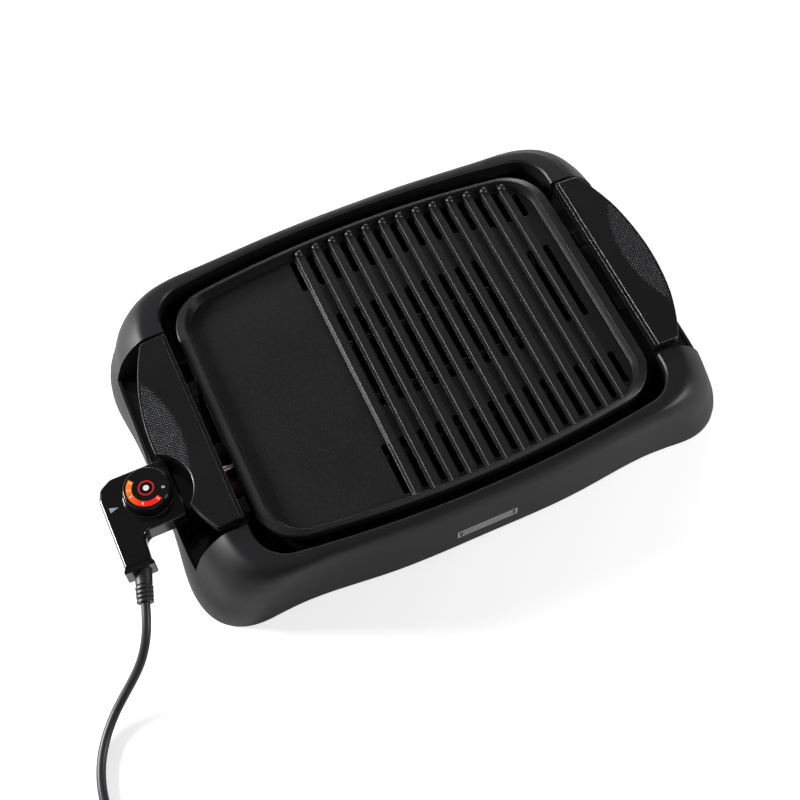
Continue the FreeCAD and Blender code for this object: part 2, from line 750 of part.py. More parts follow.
def all_slots():
    """Front, middle and back rows; each column's outer ends follow the rim."""
    slots = []
    for lane in range(lane_count):
        x = first_lane + lane * lane_pitch
        end = floor_edge(x) - slot_margin
        slots.append(slot(x, -end, front_row_start))
        start = back_row_start_right if lane > short_lane else back_row_start
        slots.append(slot(x, start - (short_lane_cut if lane == short_lane else 0), end))
        if 1 <= lane < short_lane:
            slots.append(slot(x, middle_row[0], middle_row[1]))
        elif lane > short_lane + 1:
            slots.append(slot(x, middle_row_right[0], middle_row_right[1]))
    return slots


def rib(x):
    """A rib with sloping sides and a flat, round-edged top, longer than the pan."""
    low, high = rib_base / 2, rib_top / 2
    y = -plate_half_width
    z = plate_floor - 0.5
    top = plate_floor + rib_height
    outline = [V(x - low, y, z), V(x + low, y, z), V(x + high, y, top), V(x - high, y, top)]
    bar = Part.Face(Part.makePolygon(outline + outline[:1])).extrude(V(0, 2 * plate_half_width, 0))
    return bar.makeFillet(rib_edge, edges_at(bar, top, lambda edge: edge.Length > plate_half_width))


def cooking_plate(pan):
    """Cast plate: slotted floor, ribs, sloping rim, bosses and the tube for the sensing rod."""
    z_outer = plate_top - flange_fall
    crest = plate_wire(flange_width - crest_margin, flange_side_width - crest_margin, plate_top)
    blank = join([prism(plate_wire(0, 0, plate_underside), z_outer - plate_underside),
                  Part.makeLoft([plate_wire(0, 0, z_outer), crest], True, True)])
    blank = blank.makeFillet(plate_edge, edges_at(blank, z_outer) + edges_at(blank, plate_underside))
    blank = blank.cut(pan)
    ribs = []
    for lane in range(1, lane_count):
        x = first_lane + (lane - 0.5) * lane_pitch
        ribs.append(rib(x).common(pan))
        bump = Part.makeSphere(bump_radius, V(x, floor_edge(x) - 1.0, plate_floor + bump_level))
        ribs.append(bump.common(pan))
    below = []
    for sx, y in bracket_places:
        below.append(post(boss_radius, sx * bracket_pad_x, y, bracket_pad_top + washer_sheet,
                          plate_underside + 1))
    for x, y in strap_places():
        for side in SIGNS:
            below.append(post(strap_screw_head + moulding_gap, x, y + side * strap_screw_offset,
                              element_height - element_radius, plate_underside + 1))
    tube_left = terminal_wall_x + terminal_wall * 2
    tube_right = rod_tip + sensor_tube_end
    below.append(rod(sensor_tube_radius, V(tube_left, terminal_middle, terminal_height),
                     V(tube_right, terminal_middle, terminal_height)))
    below.append(box(tube_left, tube_right, terminal_middle - sensor_web, terminal_middle + sensor_web,
                     terminal_height, plate_underside + 1))
    below.append(box(terminal_wall_x - terminal_wall, terminal_wall_x + terminal_wall,
                     terminal_middle - terminal_tab, terminal_middle + terminal_tab,
                     terminal_top, plate_underside + 1))
    plate = join([blank] + ribs + below)
    cuts = all_slots()
    cuts.append(rod(rod_radius + running_gap, V(tube_left - 1, terminal_middle, terminal_height),
                    V(rod_tip + sensor_tube_end / 2, terminal_middle, terminal_height)))
    for sx, y in bracket_places:
        cuts.append(post(bracket_screw_radius, sx * bracket_pad_x, y, 0, plate_underside - 1))
    for x, y in strap_places():
        for side in SIGNS:
            place = y + side * strap_screw_offset
            cuts.append(post(strap_screw_radius, x, place, 0, plate_underside - 1))
    return remove(plate, cuts)


def strap_places():
    """Places of the straps that hold the element, each under a rib so that no slot meets it."""
    under_rib = [first_lane + (lane - 0.5) * lane_pitch for lane in strap_lanes]
    places = [(under_rib[0], sy * element_outer_row) for sy in SIGNS]
    return places + [(under_rib[1], sy * element_row) for sy in SIGNS]


def terminal_bracket():
    """Bracket under the plate's left edge that holds the two insulators and guides the rod."""
    wall = box(terminal_wall_x - terminal_wall / 2, terminal_wall_x + terminal_wall / 2,
               terminal_rows[1] - terminal_wall_margin, terminal_rows[0] + terminal_wall_margin,
               terminal_height - terminal_wall_half_height, terminal_top)
    tab = box(terminal_wall_x - terminal_wall, terminal_wall_x + terminal_wall,
              terminal_middle - terminal_tab, terminal_middle + terminal_tab,
              terminal_top - terminal_tab_sheet, terminal_top)
    left, right = terminal_wall_x - clear, terminal_wall_x + clear
    holes = [rod(insulator_radius + running_gap, V(left, y, terminal_height),
                 V(right, y, terminal_height)) for y in terminal_rows]
    holes.append(rod(rod_radius * 1.2, V(left, terminal_middle, terminal_height),
                     V(right, terminal_middle, terminal_height)))
    return remove(join([wall, tab]), holes)


def terminal_insulators():
    """Two ceramic bushes with a collar."""
    bushes = []
    for y in terminal_rows:
        left = terminal_wall_x - insulator_left
        right = terminal_wall_x + insulator_right
        face = terminal_wall_x - terminal_wall / 2

        def along(radius, x0, x1):
            return rod(radius, V(x0, y, terminal_height), V(x1, y, terminal_height))

        bush = join([along(insulator_radius, left + 2, right),
                     along(insulator_radius - insulator_collar, left, left + 2),
                     along(insulator_radius + insulator_collar, face - 2, face)])
        bushes.append(bush.cut(along(pin_radius + running_gap, left - 1, right + 1)))
    return Part.makeCompound(bushes)


def terminal_pins():
    """Two contact pins with round tips."""
    pins = []
    for y in terminal_rows:
        pin = rod(pin_radius, V(pin_tip, y, terminal_height), V(pin_root, y, terminal_height))
        tip = [edge for edge in pin.Edges if abs(edge.BoundBox.XMax - pin_tip) < 0.01]
        pins.append(pin.makeFillet(1.2, tip))
    return Part.makeCompound(pins)


def heating_element():
    """Sheathed element: one long loop under the plate, its two ends at the terminals."""
    z = element_height
    back, front = terminal_rows
    points = [
        V(pin_root, front, terminal_height), V(element_left, front, terminal_height),
        V(element_left, -element_outer_row, z), V(element_right, -element_outer_row, z),
        V(element_right, -element_row, z), V(element_turn, -element_row, z),
        V(element_turn, element_row, z), V(element_right, element_row, z),
        V(element_right, element_outer_row, z), V(element_left, element_outer_row, z),
        V(element_left, back, terminal_height), V(pin_root, back, terminal_height),
    ]
    solid, length = tube_along(points, [element_bend] * (len(points) - 2), element_radius)
    print("heating element: length %.0f mm, volume %.0f of %.0f" %
          (length, solid.Volume, math.pi * element_radius ** 2 * length))
    return solid


def element_straps():
    """Flat straps under the element."""
    straps = []
    z = element_height - element_radius
    for x, y in strap_places():
        strap = box(x - strap_half_width, x + strap_half_width,
                    y - strap_half_length, y + strap_half_length, z - strap_sheet, z)
        holes = [post(strap_screw_radius + hole_gap, x, y + side * strap_screw_offset, 0, z + 1)
                 for side in SIGNS]
        straps.append(remove(strap, holes))
    return Part.makeCompound(straps)


def strap_screws():
    """Screws of the element's straps."""
    screws = []
    z = element_height - element_radius - strap_sheet
    for x, y in strap_places():
        for side in SIGNS:
            place = y + side * strap_screw_offset
            screws.append(join([post(strap_screw_head, x, place, z - strap_screw_head_height, z),
                                post(strap_screw_radius, x, place, z, plate_underside - 2)]))
    return Part.makeCompound(screws)


# ---- handles ----------------------------------------------------------------
def handle_wire(inset, z):
    """Right-hand handle in plan: straight inner edge, bowed outer edge."""
    y = handle_half_length - inset
    inner = handle_inner + inset
    ends = handle_end_x - inset * 0.5
    return Part.Wire([
        Part.LineSegment(V(inner, -y, z), V(ends, -y, z)).toShape(),
        Part.Arc(V(ends, -y, z), V(handle_mid_x - inset, 0, z), V(ends, y, z)).toShape(),
        Part.LineSegment(V(ends, y, z), V(inner, y, z)).toShape(),
        Part.LineSegment(V(inner, y, z), V(inner, -y, z)).toShape(),
    ])


def handle_corners(shape, inset):
    """Rounds the two outer corners of a handle moulding."""
    y = handle_half_length - inset
    ends = handle_end_x - inset * 0.5
    shape = fillet_upright(shape, [(ends, y), (ends, -y)], handle_corner)
    inner = handle_inner + inset
    return fillet_upright(shape, [(inner, y), (inner, -y)], handle_inner_corner)


def place_handle(shape, side):
    """Turns the right-hand handle into the left-hand one."""
    return shape if side > 0 else shape.mirror(V(0, 0, 0), V(1, 0, 0))


def handle_screw_places(side):
    rows = right_bracket_y if side > 0 else left_bracket_y
    return [(side * handle_screw_x, y) for y in rows]


def handle_slope():
    """How far the handle's top falls per millimetre outwards."""
    return (handle_top_inner - handle_top_outer) / (handle_mid_x - handle_inner)


def scoop_sphere():
    """The sphere that hollows the grip zone square to the sloping top, as (centre x, centre z)."""
    share = (scoop_half_length / handle_half_length) ** 2
    edge_at_half = handle_mid_x - (handle_mid_x - handle_end_x) * share
    inner_edge = handle_mid_x - scoop_width
    sag = edge_at_half - inner_edge
    circle = (scoop_half_length ** 2 + sag ** 2) / (2 * sag)
    rise = math.sqrt(scoop_radius ** 2 - circle ** 2)
    tilt = math.atan(handle_slope())
    level = handle_top_inner - handle_slope() * (inner_edge - handle_inner)
    return (inner_edge + circle * math.cos(tilt) + rise * math.sin(tilt),
            level - circle * math.sin(tilt) + rise * math.cos(tilt))


def arch_cut(z0, z1, gap):
    return post(arch_radius + gap, arch_x, arch_y, z0, z1)


def handle_top(side):
    """Upper moulding of a handle: sloping top, step along the inner edge, hollowed grip zone."""
    blank = handle_corners(prism(handle_wire(0, handle_split), handle_top_inner - handle_split + 1), 0)
    near, far = handle_inner - clear, handle_mid_x + clear
    y = handle_half_length + clear
    ceiling = handle_top_inner + clear
    over = [V(near, -y, handle_top_inner + handle_slope() * clear),
            V(far, -y, handle_top_inner - handle_slope() * (far - handle_inner)),
            V(far, -y, ceiling), V(near, -y, ceiling)]
    sky = Part.Face(Part.makePolygon(over + over[:1])).extrude(V(0, 2 * y, 0))
    centre_x, centre_z = scoop_sphere()
    top = place_handle(remove(blank, [sky]), side)
    if side < 0:
        top = top.cut(arch_cut(0, ceiling, 0))
    outline = [edge for edge in top.Edges if edge.BoundBox.ZMin > handle_split + 1]
    top = top.makeFillet(handle_edge, outline)
    scoop = Part.makeSphere(scoop_radius, V(side * centre_x, 0, centre_z))
    ledge = box(side * near, side * (handle_inner + handle_ledge), -y, y,
                handle_top_inner - handle_ledge_depth - handle_slope() * handle_ledge, ceiling)
    hole_top = handle_split + handle_screw_bite + 1
    holes = [post(handle_screw_radius, x, place, 0, hole_top)
             for x, place in handle_screw_places(side)]
    return remove(top, [scoop, ledge] + holes)


def handle_underside(side):
    """Lower moulding of a handle, a tray that the brackets lie in."""
    inset = underside_inset
    height = handle_split - moulding_gap / 3 - handle_bottom
    under = handle_corners(prism(handle_wire(inset, handle_bottom), height), inset)
    under = under.makeFillet(underside_edge, edges_at(under, handle_bottom))
    under = place_handle(under, side)
    pocket_depth = handle_split + clear - bracket_level
    pocket = place_handle(prism(handle_wire(inset + handle_wall, bracket_level), pocket_depth), side)
    if side < 0:
        under = under.cut(arch_cut(0, handle_split + clear, inset))
        pocket = pocket.cut(arch_cut(0, handle_split + clear, inset + handle_wall))
    cuts = [pocket]
    half = bracket_half_width + fit_gap
    for x, y in handle_screw_places(side):
        cuts.append(box(side * (handle_inner - clear), side * (handle_inner + 2 * clear), y - half,
                        y + half, bracket_level, bracket_level + bracket_sheet + moulding_gap))
        cuts.append(post(handle_screw_radius + hole_gap, x, y, 0, bracket_level + 1))
        cuts.append(post(handle_screw_head + hole_gap, x, y, 0, handle_screw_seat))
    return remove(under, cuts)


def handle_brackets(side):
    """Two steel strips from the plate's bosses out into the handle."""
    strips = []
    arm_top = bracket_level + bracket_sheet
    pad_low = bracket_pad_top - bracket_sheet
    for x_screw, y in handle_screw_places(side):
        low, high = y - bracket_half_width, y + bracket_half_width
        pad = box(bracket_pad_x - bracket_half_width, bracket_riser_x + bracket_sheet, low, high,
                  pad_low, bracket_pad_top)
        riser = box(bracket_riser_x, bracket_riser_x + bracket_sheet, low, high, pad_low, arm_top)
        arm_end = bracket_arm_end - (bracket_arm_cut if abs(y) > bracket_row * 1.5 else 0)
        arm = box(bracket_riser_x, arm_end, low, high, bracket_level, arm_top)
        strip = place_handle(join([pad, riser, arm]), side)
        holes = [post(bracket_screw_radius + hole_gap, side * bracket_pad_x, y, 0, base_height),
                 post(handle_screw_radius + hole_gap, x_screw, y, 0, base_height)]
        strips.append(remove(strip, holes))
    return Part.makeCompound(strips)


def bracket_washers():
    """Brass washers between the plate's bosses and the brackets."""
    rings = []
    for sx, y in bracket_places:
        x = sx * bracket_pad_x
        ring = post(washer_radius, x, y, bracket_pad_top, bracket_pad_top + washer_sheet)
        rings.append(ring.cut(post(bracket_screw_radius + hole_gap, x, y, 0, base_height)))
    return Part.makeCompound(rings)


def bracket_screws():
    """Brass screws that hold the brackets to the plate."""
    screws = []
    for sx, y in bracket_places:
        x = sx * bracket_pad_x
        head_top = bracket_pad_top - bracket_sheet
        head_low = head_top - bracket_screw_head_height
        screws.append(join([post(bracket_screw_head, x, y, head_low, head_top),
                            post(bracket_screw_radius, x, y, head_top, plate_underside - 2)]))
    return Part.makeCompound(screws)


def handle_screws():
    """Screws up through the handle undersides and brackets into the tops."""
    screws = []
    for side in SIGNS:
        for x, y in handle_screw_places(side):
            low = handle_screw_seat - handle_screw_head_height
            top = handle_split + handle_screw_bite
            screws.append(join([post(handle_screw_head, x, y, low, handle_screw_seat),
                                post(handle_screw_radius, x, y, handle_screw_seat, top)]))
    return Part.makeCompound(screws)


# ---- control ----------------------------------------------------------------
def control_outline(inset, z):
    """The control in plan: a body under the dial and a leg for the lead."""
    left, right = control_left + inset, control_right - inset
    back, front = control_back - inset, control_front + inset
    corner = [V(left + x, back - y, z) for x, y in control_corner]
    outline = [V(left, leg_front + inset, z), V(leg_right - leg_taper - inset, leg_front + inset, z),
               V(leg_right - inset, front, z), V(right, front, z), V(right, back, z)] + corner
    return Part.makePolygon(outline + outline[:1])


def control_form(inset, z0, z1):
    """The control's outline pulled up, with its upright corners rounded."""
    form = prism(control_outline(inset, z0), z1 - z0)
    left, right = control_left + inset, control_right - inset
    back, front = control_back - inset, control_front + inset
    corner = [(left + x, back - y) for x, y in control_corner]
    form = fillet_upright(form, [(leg_right - inset, front)], leg_round + inset)
    form = fillet_upright(form, corner, control_corner_round)
    return fillet_upright(form, [(right, front), (right, back)], control_inner_round - inset)


def collar(z0, z1):
    """Flared end of the leg, where the strain relief comes out."""
    left, right = control_left, leg_right - leg_taper
    wide_left, wide_right = left - collar_flare, right + collar_flare
    band = collar_front + collar_band
    corners = [(left, leg_front + hair), (wide_left, band), (wide_left, collar_front),
               (wide_right, collar_front), (wide_right, band), (right, leg_front + hair)]
    outline = [V(x, y, z0) for x, y in corners + corners[:1]]
    block = prism(Part.makePolygon(outline), z1 - z0)
    return fillet_upright(block, [(wide_left, collar_front), (wide_right, collar_front)], collar_round)


def housing_screw_places():
    left, right = control_left + housing_screw_in, control_right - housing_screw_in
    return [(left, control_back - housing_screw_back), (left, leg_front + housing_screw_front),
            (right, control_back - housing_screw_in), (right, control_front + housing_screw_in)]


def control_cavity(z0, z1):
    """Room inside the control, with posts left standing for the screws."""
    posts = [post(housing_post_radius, x, y, z0 - 1, z1 + 1) for x, y in housing_screw_places()]
    return remove(control_form(control_wall, z0, z1), posts)


def nose(z0, z1):
    """Block round the contact sleeves, under the handle."""
    block = box(control_right - control_wall, nose_right, nose_front, nose_back, z0, z1)
    return fillet_upright(block, [(nose_right, nose_front), (nose_right, nose_back)], nose_corner)


def control_bores():
    """Holes for the two contact sleeves, the rod and the strain relief."""
    left, right = control_right - 2 * clear, nose_right + clear
    bores = [rod(sleeve_radius + running_gap, V(left, y, terminal_height),
                 V(right, y, terminal_height)) for y in terminal_rows]
    bores.append(rod(rod_radius + running_gap, V(left, terminal_middle, terminal_height),
                     V(right, terminal_middle, terminal_height)))
    way = relief_end.sub(relief_start).normalize()
    bores.append(rod(relief_sleeve_radius + running_gap, relief_start - way * (relief_root + 2),
                     relief_start + way * clear))
    return bores


def control_upper():
    """Upper moulding, with the round seat under the dial and the pointer's recess."""
    z = terminal_height
    form = control_form(0, z, control_top)
    form = form.makeFillet(control_edge, edges_at(form, control_top))
    seat_top = control_top + dial_boss_height
    seat = post(dial_boss_radius, dial_x, dial_y, z, seat_top)
    seat = seat.makeFillet(dial_boss_height * 0.8, edges_at(seat, seat_top))
    end = collar(z, control_top - collar_drop)
    shell = join([form, seat, end, nose(z, nose_top)])
    cuts = [control_cavity(z - 1, control_top - control_wall)]
    cuts += control_bores()
    cuts.append(post(dial_shaft_radius + moulding_gap, dial_x, dial_y, z, dial_bottom + clear))
    cuts.append(pointer_prism(0.0))
    cuts += [post(housing_screw_radius, x, y, z - 1, z + housing_screw_bite + 1)
             for x, y in housing_screw_places()]
    return remove(shell, cuts)


def control_lower():
    """Lower moulding, which the screws come up through."""
    z = terminal_height - control_split_gap
    form = control_form(0, control_bottom, z)
    form = form.makeFillet(control_edge, edges_at(form, control_bottom))
    end = collar(control_bottom + collar_drop, z)
    shell = join([form, end, nose(nose_bottom, z)])
    cuts = [control_cavity(control_bottom + control_wall, z + 1)]
    cuts += control_bores()
    for x, y in housing_screw_places():
        cuts.append(post(housing_screw_radius + hole_gap, x, y, 0, z + 1))
        cuts.append(post(housing_screw_head + hole_gap, x, y, 0, housing_screw_seat))
    return remove(shell, cuts)


def pointer_prism(gap):
    """Small triangle that points at the dial."""
    tip = pointer_length / 2 - gap
    half = pointer_half_width - gap
    z = control_top - pointer_depth
    outline = [V(pointer_x + tip, pointer_y, z), V(pointer_x - tip, pointer_y + half, z),
               V(pointer_x - tip, pointer_y - half, z), V(pointer_x + tip, pointer_y, z)]
    return prism(Part.makePolygon(outline), pointer_depth + (1 if gap == 0 else gap / 2))


def thermostat():
    """Thermostat block inside the control, bored for the dial's shaft and the rod."""
    block = box(dial_x - thermostat_half_length, dial_x + thermostat_half_length,
                dial_y - thermostat_half_width, dial_y + thermostat_half_width,
                control_bottom + control_wall, control_top - control_wall - thermostat_gap)
    bore = post(dial_shaft_radius + running_gap, dial_x, dial_y,
                terminal_height + dial_shaft_root - fit_gap, control_top)
    seat = rod(rod_radius, V(rod_root, terminal_middle, terminal_height),
               V(control_right, terminal_middle, terminal_height))
    return remove(block, [bore, seat])


def sensing_rod():
    """Temperature rod that slides into the tube under the plate."""
    bar = rod(rod_radius, V(rod_root, terminal_middle, terminal_height),
              V(rod_tip, terminal_middle, terminal_height))
    tip = [edge for edge in bar.Edges if abs(edge.BoundBox.XMin - rod_tip) < 0.01]
    return bar.makeFillet(rod_tip_round, tip)


def contact_sleeves():
    """Two spring sleeves in the nose that take the pins."""
    sleeves = []
    for y in terminal_rows:
        start = V(nose_right - sleeve_setback, y, terminal_height)
        end = V(nose_right - sleeve_length, y, terminal_height)
        bore = rod(pin_radius + running_gap, start + V(1, 0, 0), end + V(clear, 0, 0))
        sleeves.append(rod(sleeve_radius, start, end).cut(bore))
    return Part.makeCompound(sleeves)


def housing_screws():
    """Screws that hold the control's two mouldings together."""
    screws = []
    for x, y in housing_screw_places():
        low = housing_screw_seat - housing_screw_head_height
        top = terminal_height + housing_screw_bite
        screws.append(join([post(housing_screw_head, x, y, low, housing_screw_seat),
                            post(housing_screw_radius, x, y, housing_screw_seat, top)]))
    return Part.makeCompound(screws)


def dial_skirt():
    """Fluted grip of the dial."""
    top = dial_bottom + dial_height - dial_cap_height
    place = V(dial_x, dial_y, dial_bottom)
    cone = Part.makeCone(dial_base_radius, dial_radius + dial_flare, top - dial_bottom, place)
    flutes = []
    for k in range(dial_flutes):
        angle = 2 * math.pi * k / dial_flutes
        radius = dial_base_radius + dial_flute_radius * 0.4
        x, y = dial_x + radius * math.cos(angle), dial_y + radius * math.sin(angle)
        flutes.append(post(dial_flute_radius, x, y, dial_bottom - 1, top - dial_land))
    return remove(cone, flutes)


def dial_cap():
    """Printed disc on top of the dial."""
    bottom = dial_bottom + dial_height - dial_cap_height
    disc = post(dial_radius, dial_x, dial_y, bottom, bottom + dial_cap_height)
    return disc.makeFillet(dial_cap_edge, edges_at(disc, bottom + dial_cap_height))


def dial_shaft():
    """Shaft from the dial down into the thermostat."""
    return post(dial_shaft_radius, dial_x, dial_y, terminal_height + dial_shaft_root, dial_bottom)


# ---- mains lead -------------------------------------------------------------
def strain_relief():
    """Rubber sleeve that leaves the control, then a thinner core with rings."""
    way = relief_end.sub(relief_start)
    length = way.Length
    unit = V(way).normalize()
    sleeve_end = length * relief_sleeve_share
    sleeve_rear = relief_start - unit * relief_root
    shrink = relief_sleeve_radius - relief_taper
    core = Part.makeCone(relief_core_radius, relief_end_radius, length - sleeve_end,
                         relief_start + unit * sleeve_end, unit)
    pieces = [rod(relief_sleeve_radius, sleeve_rear, relief_start + unit * hair),
              Part.makeCone(relief_sleeve_radius, shrink, sleeve_end, relief_start, unit), core]
    pitch = (length - sleeve_end) / relief_rings
    for k in range(relief_rings):
        at = relief_start + unit * (sleeve_end + pitch * (k + 1) - relief_ring)
        pieces.append(Part.makeCylinder(relief_ring_radius - relief_taper * k / relief_rings,
                                        relief_ring, at, unit))
    return join(pieces)


def lead_tube(word, route):
    """A stretch of the lead that isn't coiled. Prints every bend's radius."""
    bends = []
    for before, corner, after in zip(route, route[1:], route[2:]):
        shorter = min(corner.sub(before).Length, after.sub(corner).Length)
        half_turn = corner.sub(before).getAngle(after.sub(corner)) / 2
        bends.append(bend_share * shorter / math.tan(half_turn))
    solid, length = tube_along(route, bends, cord_radius)
    print(word + " bend radii: " + ", ".join("%.0f" % bend for bend in bends))
    print("%s: length %.0f mm, volume %.0f of %.0f" %
          (word, length, solid.Volume, math.pi * cord_radius ** 2 * length))
    return solid


def cord_coil():
    """Closed ring with the outer shape of the coiled turns."""
    inner, outer = coil_radius - coil_width / 2, coil_radius + coil_width / 2
    ring = Part.makeCylinder(outer, coil_height, coil_middle)
    ring = ring.cut(Part.makeCylinder(inner, coil_height + 2 * clear, coil_middle - V(0, 0, clear)))
    flat = edges_at(ring, coil_middle.z + coil_height) + edges_at(ring, coil_middle.z)
    return ring.makeFillet(cord_radius * 0.8, flat)


def coil_tie():
    """Band round the bundle of turns."""
    half = coil_width / 2
    top = coil_middle.z + coil_height
    band = box(coil_radius - half - tie_sheet, coil_radius + half + tie_sheet,
               -tie_half_width, tie_half_width, coil_middle.z - tie_sheet, top + tie_sheet)
    band = band.cut(box(coil_radius - half - tie_gap[0], coil_radius + half + tie_gap[1],
                        -tie_half_width - 1, tie_half_width + 1, coil_middle.z, top))
    band.rotate(V(0, 0, 0), V(0, 0, 1), tie_turn)
    band.translate(V(coil_middle.x, coil_middle.y, 0))
    return band


def on_plug(shape):
    """Moves a shape drawn along +X from the origin to the end of the lead."""
    way = tail_route[-1].sub(tail_route[-2])
    shape.rotate(V(0, 0, 0), V(0, 0, 1), math.degrees(math.atan2(way.y, way.x)))
    shape.translate(V(tail_route[-1].x, tail_route[-1].y, plug_half_height + plug_lift))
    return shape


def plug_body():
    """Moulded plug with a tapered sleeve."""
    start = plug_relief_length - 1
    end = plug_relief_length + plug_length
    block = box(start, end, -plug_half_width, plug_half_width, -plug_half_height, plug_half_height)
    long_edges = [edge for edge in block.Edges if edge.BoundBox.XLength > plug_length / 2]
    block = block.makeFillet(plug_corner, long_edges)
    rear = [edge for edge in block.Edges if edge.BoundBox.XMax < start + 0.01]
    block = block.makeFillet(plug_corner * 0.8, rear)
    sleeve = Part.makeCone(cord_radius + plug_sleeve_wall, plug_relief_radius,
                           plug_relief_length + 1, V(0, 0, 0), V(1, 0, 0))
    pieces = [block, sleeve]
    for k in range(plug_rings):
        at = plug_ring_pitch * (k + 1)
        pieces.append(rod(cord_radius + relief_ring, V(at, 0, 0), V(at + relief_ring, 0, 0)))
    return on_plug(join(pieces))


def plug_pins():
    """Three round pins in a line."""
    start = plug_relief_length + plug_length
    pins = []
    for k in (-1, 0, 1):
        y = k * plug_pin_spacing
        pin = rod(plug_pin_radius, V(start, y, 0), V(start + plug_pin_length, y, 0))
        tip = [edge for edge in pin.Edges if edge.BoundBox.XMin > start + plug_pin_length - 0.01]
        pins.append(pin.makeFillet(plug_pin_radius / 2, tip))
    return on_plug(Part.makeCompound(pins))


# ---- output -----------------------------------------------------------------
os.makedirs("parts", exist_ok=True)


def save(name, shape):
    """Writes one sub-part, moved so that the whole object is centred over the origin."""
    moved = shape.copy()
    moved.translate(V(centre_shift, 0, 0))
    moved.exportStep("parts/" + name + ".step")
    print("%-22s solids %2d  volume %9.0f  valid %s" %
          (name, len(shape.Solids), shape.Volume, shape.isValid()))


outer_form = base_form(0.0, base_bottom)
control_reach = -control_left + collar_flare
base_reach = outer_form.optimalBoundingBox().XMax
centre_shift = (control_reach - base_reach) / 2
print("centre shift %.3f mm" % centre_shift)
save("base_housing", base_housing(outer_form))
save("base_tub", base_tub())
save("base_screws", base_screws())
save("rubber_feet", rubber_feet())
save("front_badge", front_badge())
save("drip_tray", drip_tray())
pan = pan_space()
save("cooking_plate", cooking_plate(pan))
save("heating_element", heating_element())
save("element_straps", element_straps())
save("strap_screws", strap_screws())
save("terminal_bracket", terminal_bracket())
save("terminal_insulators", terminal_insulators())
save("terminal_pins", terminal_pins())
for side, word in ((1, "right"), (-1, "left")):
    save(word + "_handle_top", handle_top(side))
    save(word + "_handle_underside", handle_underside(side))
    save(word + "_handle_brackets", handle_brackets(side))
save("bracket_washers", bracket_washers())
save("bracket_screws", bracket_screws())
save("handle_screws", handle_screws())
save("control_upper", control_upper())
save("control_lower", control_lower())
save("thermostat", thermostat())
save("sensing_rod", sensing_rod())
save("contact_sleeves", contact_sleeves())
save("housing_screws", housing_screws())
save("pointer_mark", pointer_prism(0.1))
save("dial_skirt", dial_skirt())
save("dial_cap", dial_cap())
save("dial_shaft", dial_shaft())
save("strain_relief", strain_relief())
save("cord", lead_tube("cord", cord_route))
save("cord_tail", lead_tube("cord tail", tail_route))
save("cord_coil", cord_coil())
save("coil_tie", coil_tie())
save("plug_body", plug_body())
save("plug_pins", plug_pins())
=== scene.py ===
import math

import bmesh
import bpy
from mathutils import Matrix, Vector
from mathutils.bvhtree import BVHTree


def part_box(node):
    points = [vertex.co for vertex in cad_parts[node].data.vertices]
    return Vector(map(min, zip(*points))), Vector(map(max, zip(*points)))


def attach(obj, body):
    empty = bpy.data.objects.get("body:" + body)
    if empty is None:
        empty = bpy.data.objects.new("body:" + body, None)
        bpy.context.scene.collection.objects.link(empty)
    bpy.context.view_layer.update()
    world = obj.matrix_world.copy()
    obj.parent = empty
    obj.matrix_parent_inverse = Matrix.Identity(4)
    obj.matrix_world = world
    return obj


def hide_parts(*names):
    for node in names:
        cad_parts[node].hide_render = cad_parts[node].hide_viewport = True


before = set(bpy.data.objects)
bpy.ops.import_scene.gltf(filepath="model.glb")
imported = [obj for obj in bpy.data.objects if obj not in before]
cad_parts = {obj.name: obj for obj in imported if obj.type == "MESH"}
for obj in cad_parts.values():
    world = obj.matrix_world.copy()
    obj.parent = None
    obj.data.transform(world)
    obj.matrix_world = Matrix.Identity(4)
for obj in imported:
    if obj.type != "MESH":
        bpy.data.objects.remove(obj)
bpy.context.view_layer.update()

# Electric griddle. Metres, +Z up, the table at z = 0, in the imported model's own frame.

MM = 0.001

base_low, base_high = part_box("base_housing")
base_middle = (base_low.x + base_high.x) / 2
cap_low, cap_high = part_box("dial_cap")
dial_centre = (cap_low + cap_high) / 2
dial_top = cap_high.z
lead_diameter = 7.5 * MM


def from_base(x, y, z):
    """A point given in metres from the middle of the base's underside."""
    return Vector((base_middle + x, y, z))


# ---- camera, light and floor ------------------------------------------------
def place_camera():
    """Looks down at the front of the griddle from the left."""
    right = Vector((0.9106, -0.4131, -0.0129))
    up = Vector((0.3699, 0.8008, 0.4710))
    forward = Vector((0.1843, 0.4336, -0.8820))
    data = bpy.data.cameras.new("camera")
    data.sensor_width = 36.0
    data.lens = 64.17
    data.clip_end = 20.0
    camera = bpy.data.objects.new("camera", data)
    eye = (base_middle - 0.2450, -0.5541, 1.1164)
    camera.matrix_world = Matrix.Translation(eye) @ Matrix((
        (right.x, up.x, -forward.x, 0), (right.y, up.y, -forward.y, 0),
        (right.z, up.z, -forward.z, 0), (0, 0, 0, 1)))
    bpy.context.collection.objects.link(camera)
    bpy.context.scene.camera = camera


def softbox(name, place, target, width, height, power, colour=(1.0, 1.0, 1.0)):
    """A rectangular light that faces a point."""
    data = bpy.data.lights.new(name, "AREA")
    data.shape = "RECTANGLE"
    data.size = width
    data.size_y = height
    data.energy = power
    data.color = colour
    light = bpy.data.objects.new(name, data)
    way = Vector(target) - Vector(place)
    light.matrix_world = Matrix.Translation(place) @ way.to_track_quat("-Z", "Y").to_matrix().to_4x4()
    bpy.context.collection.objects.link(light)


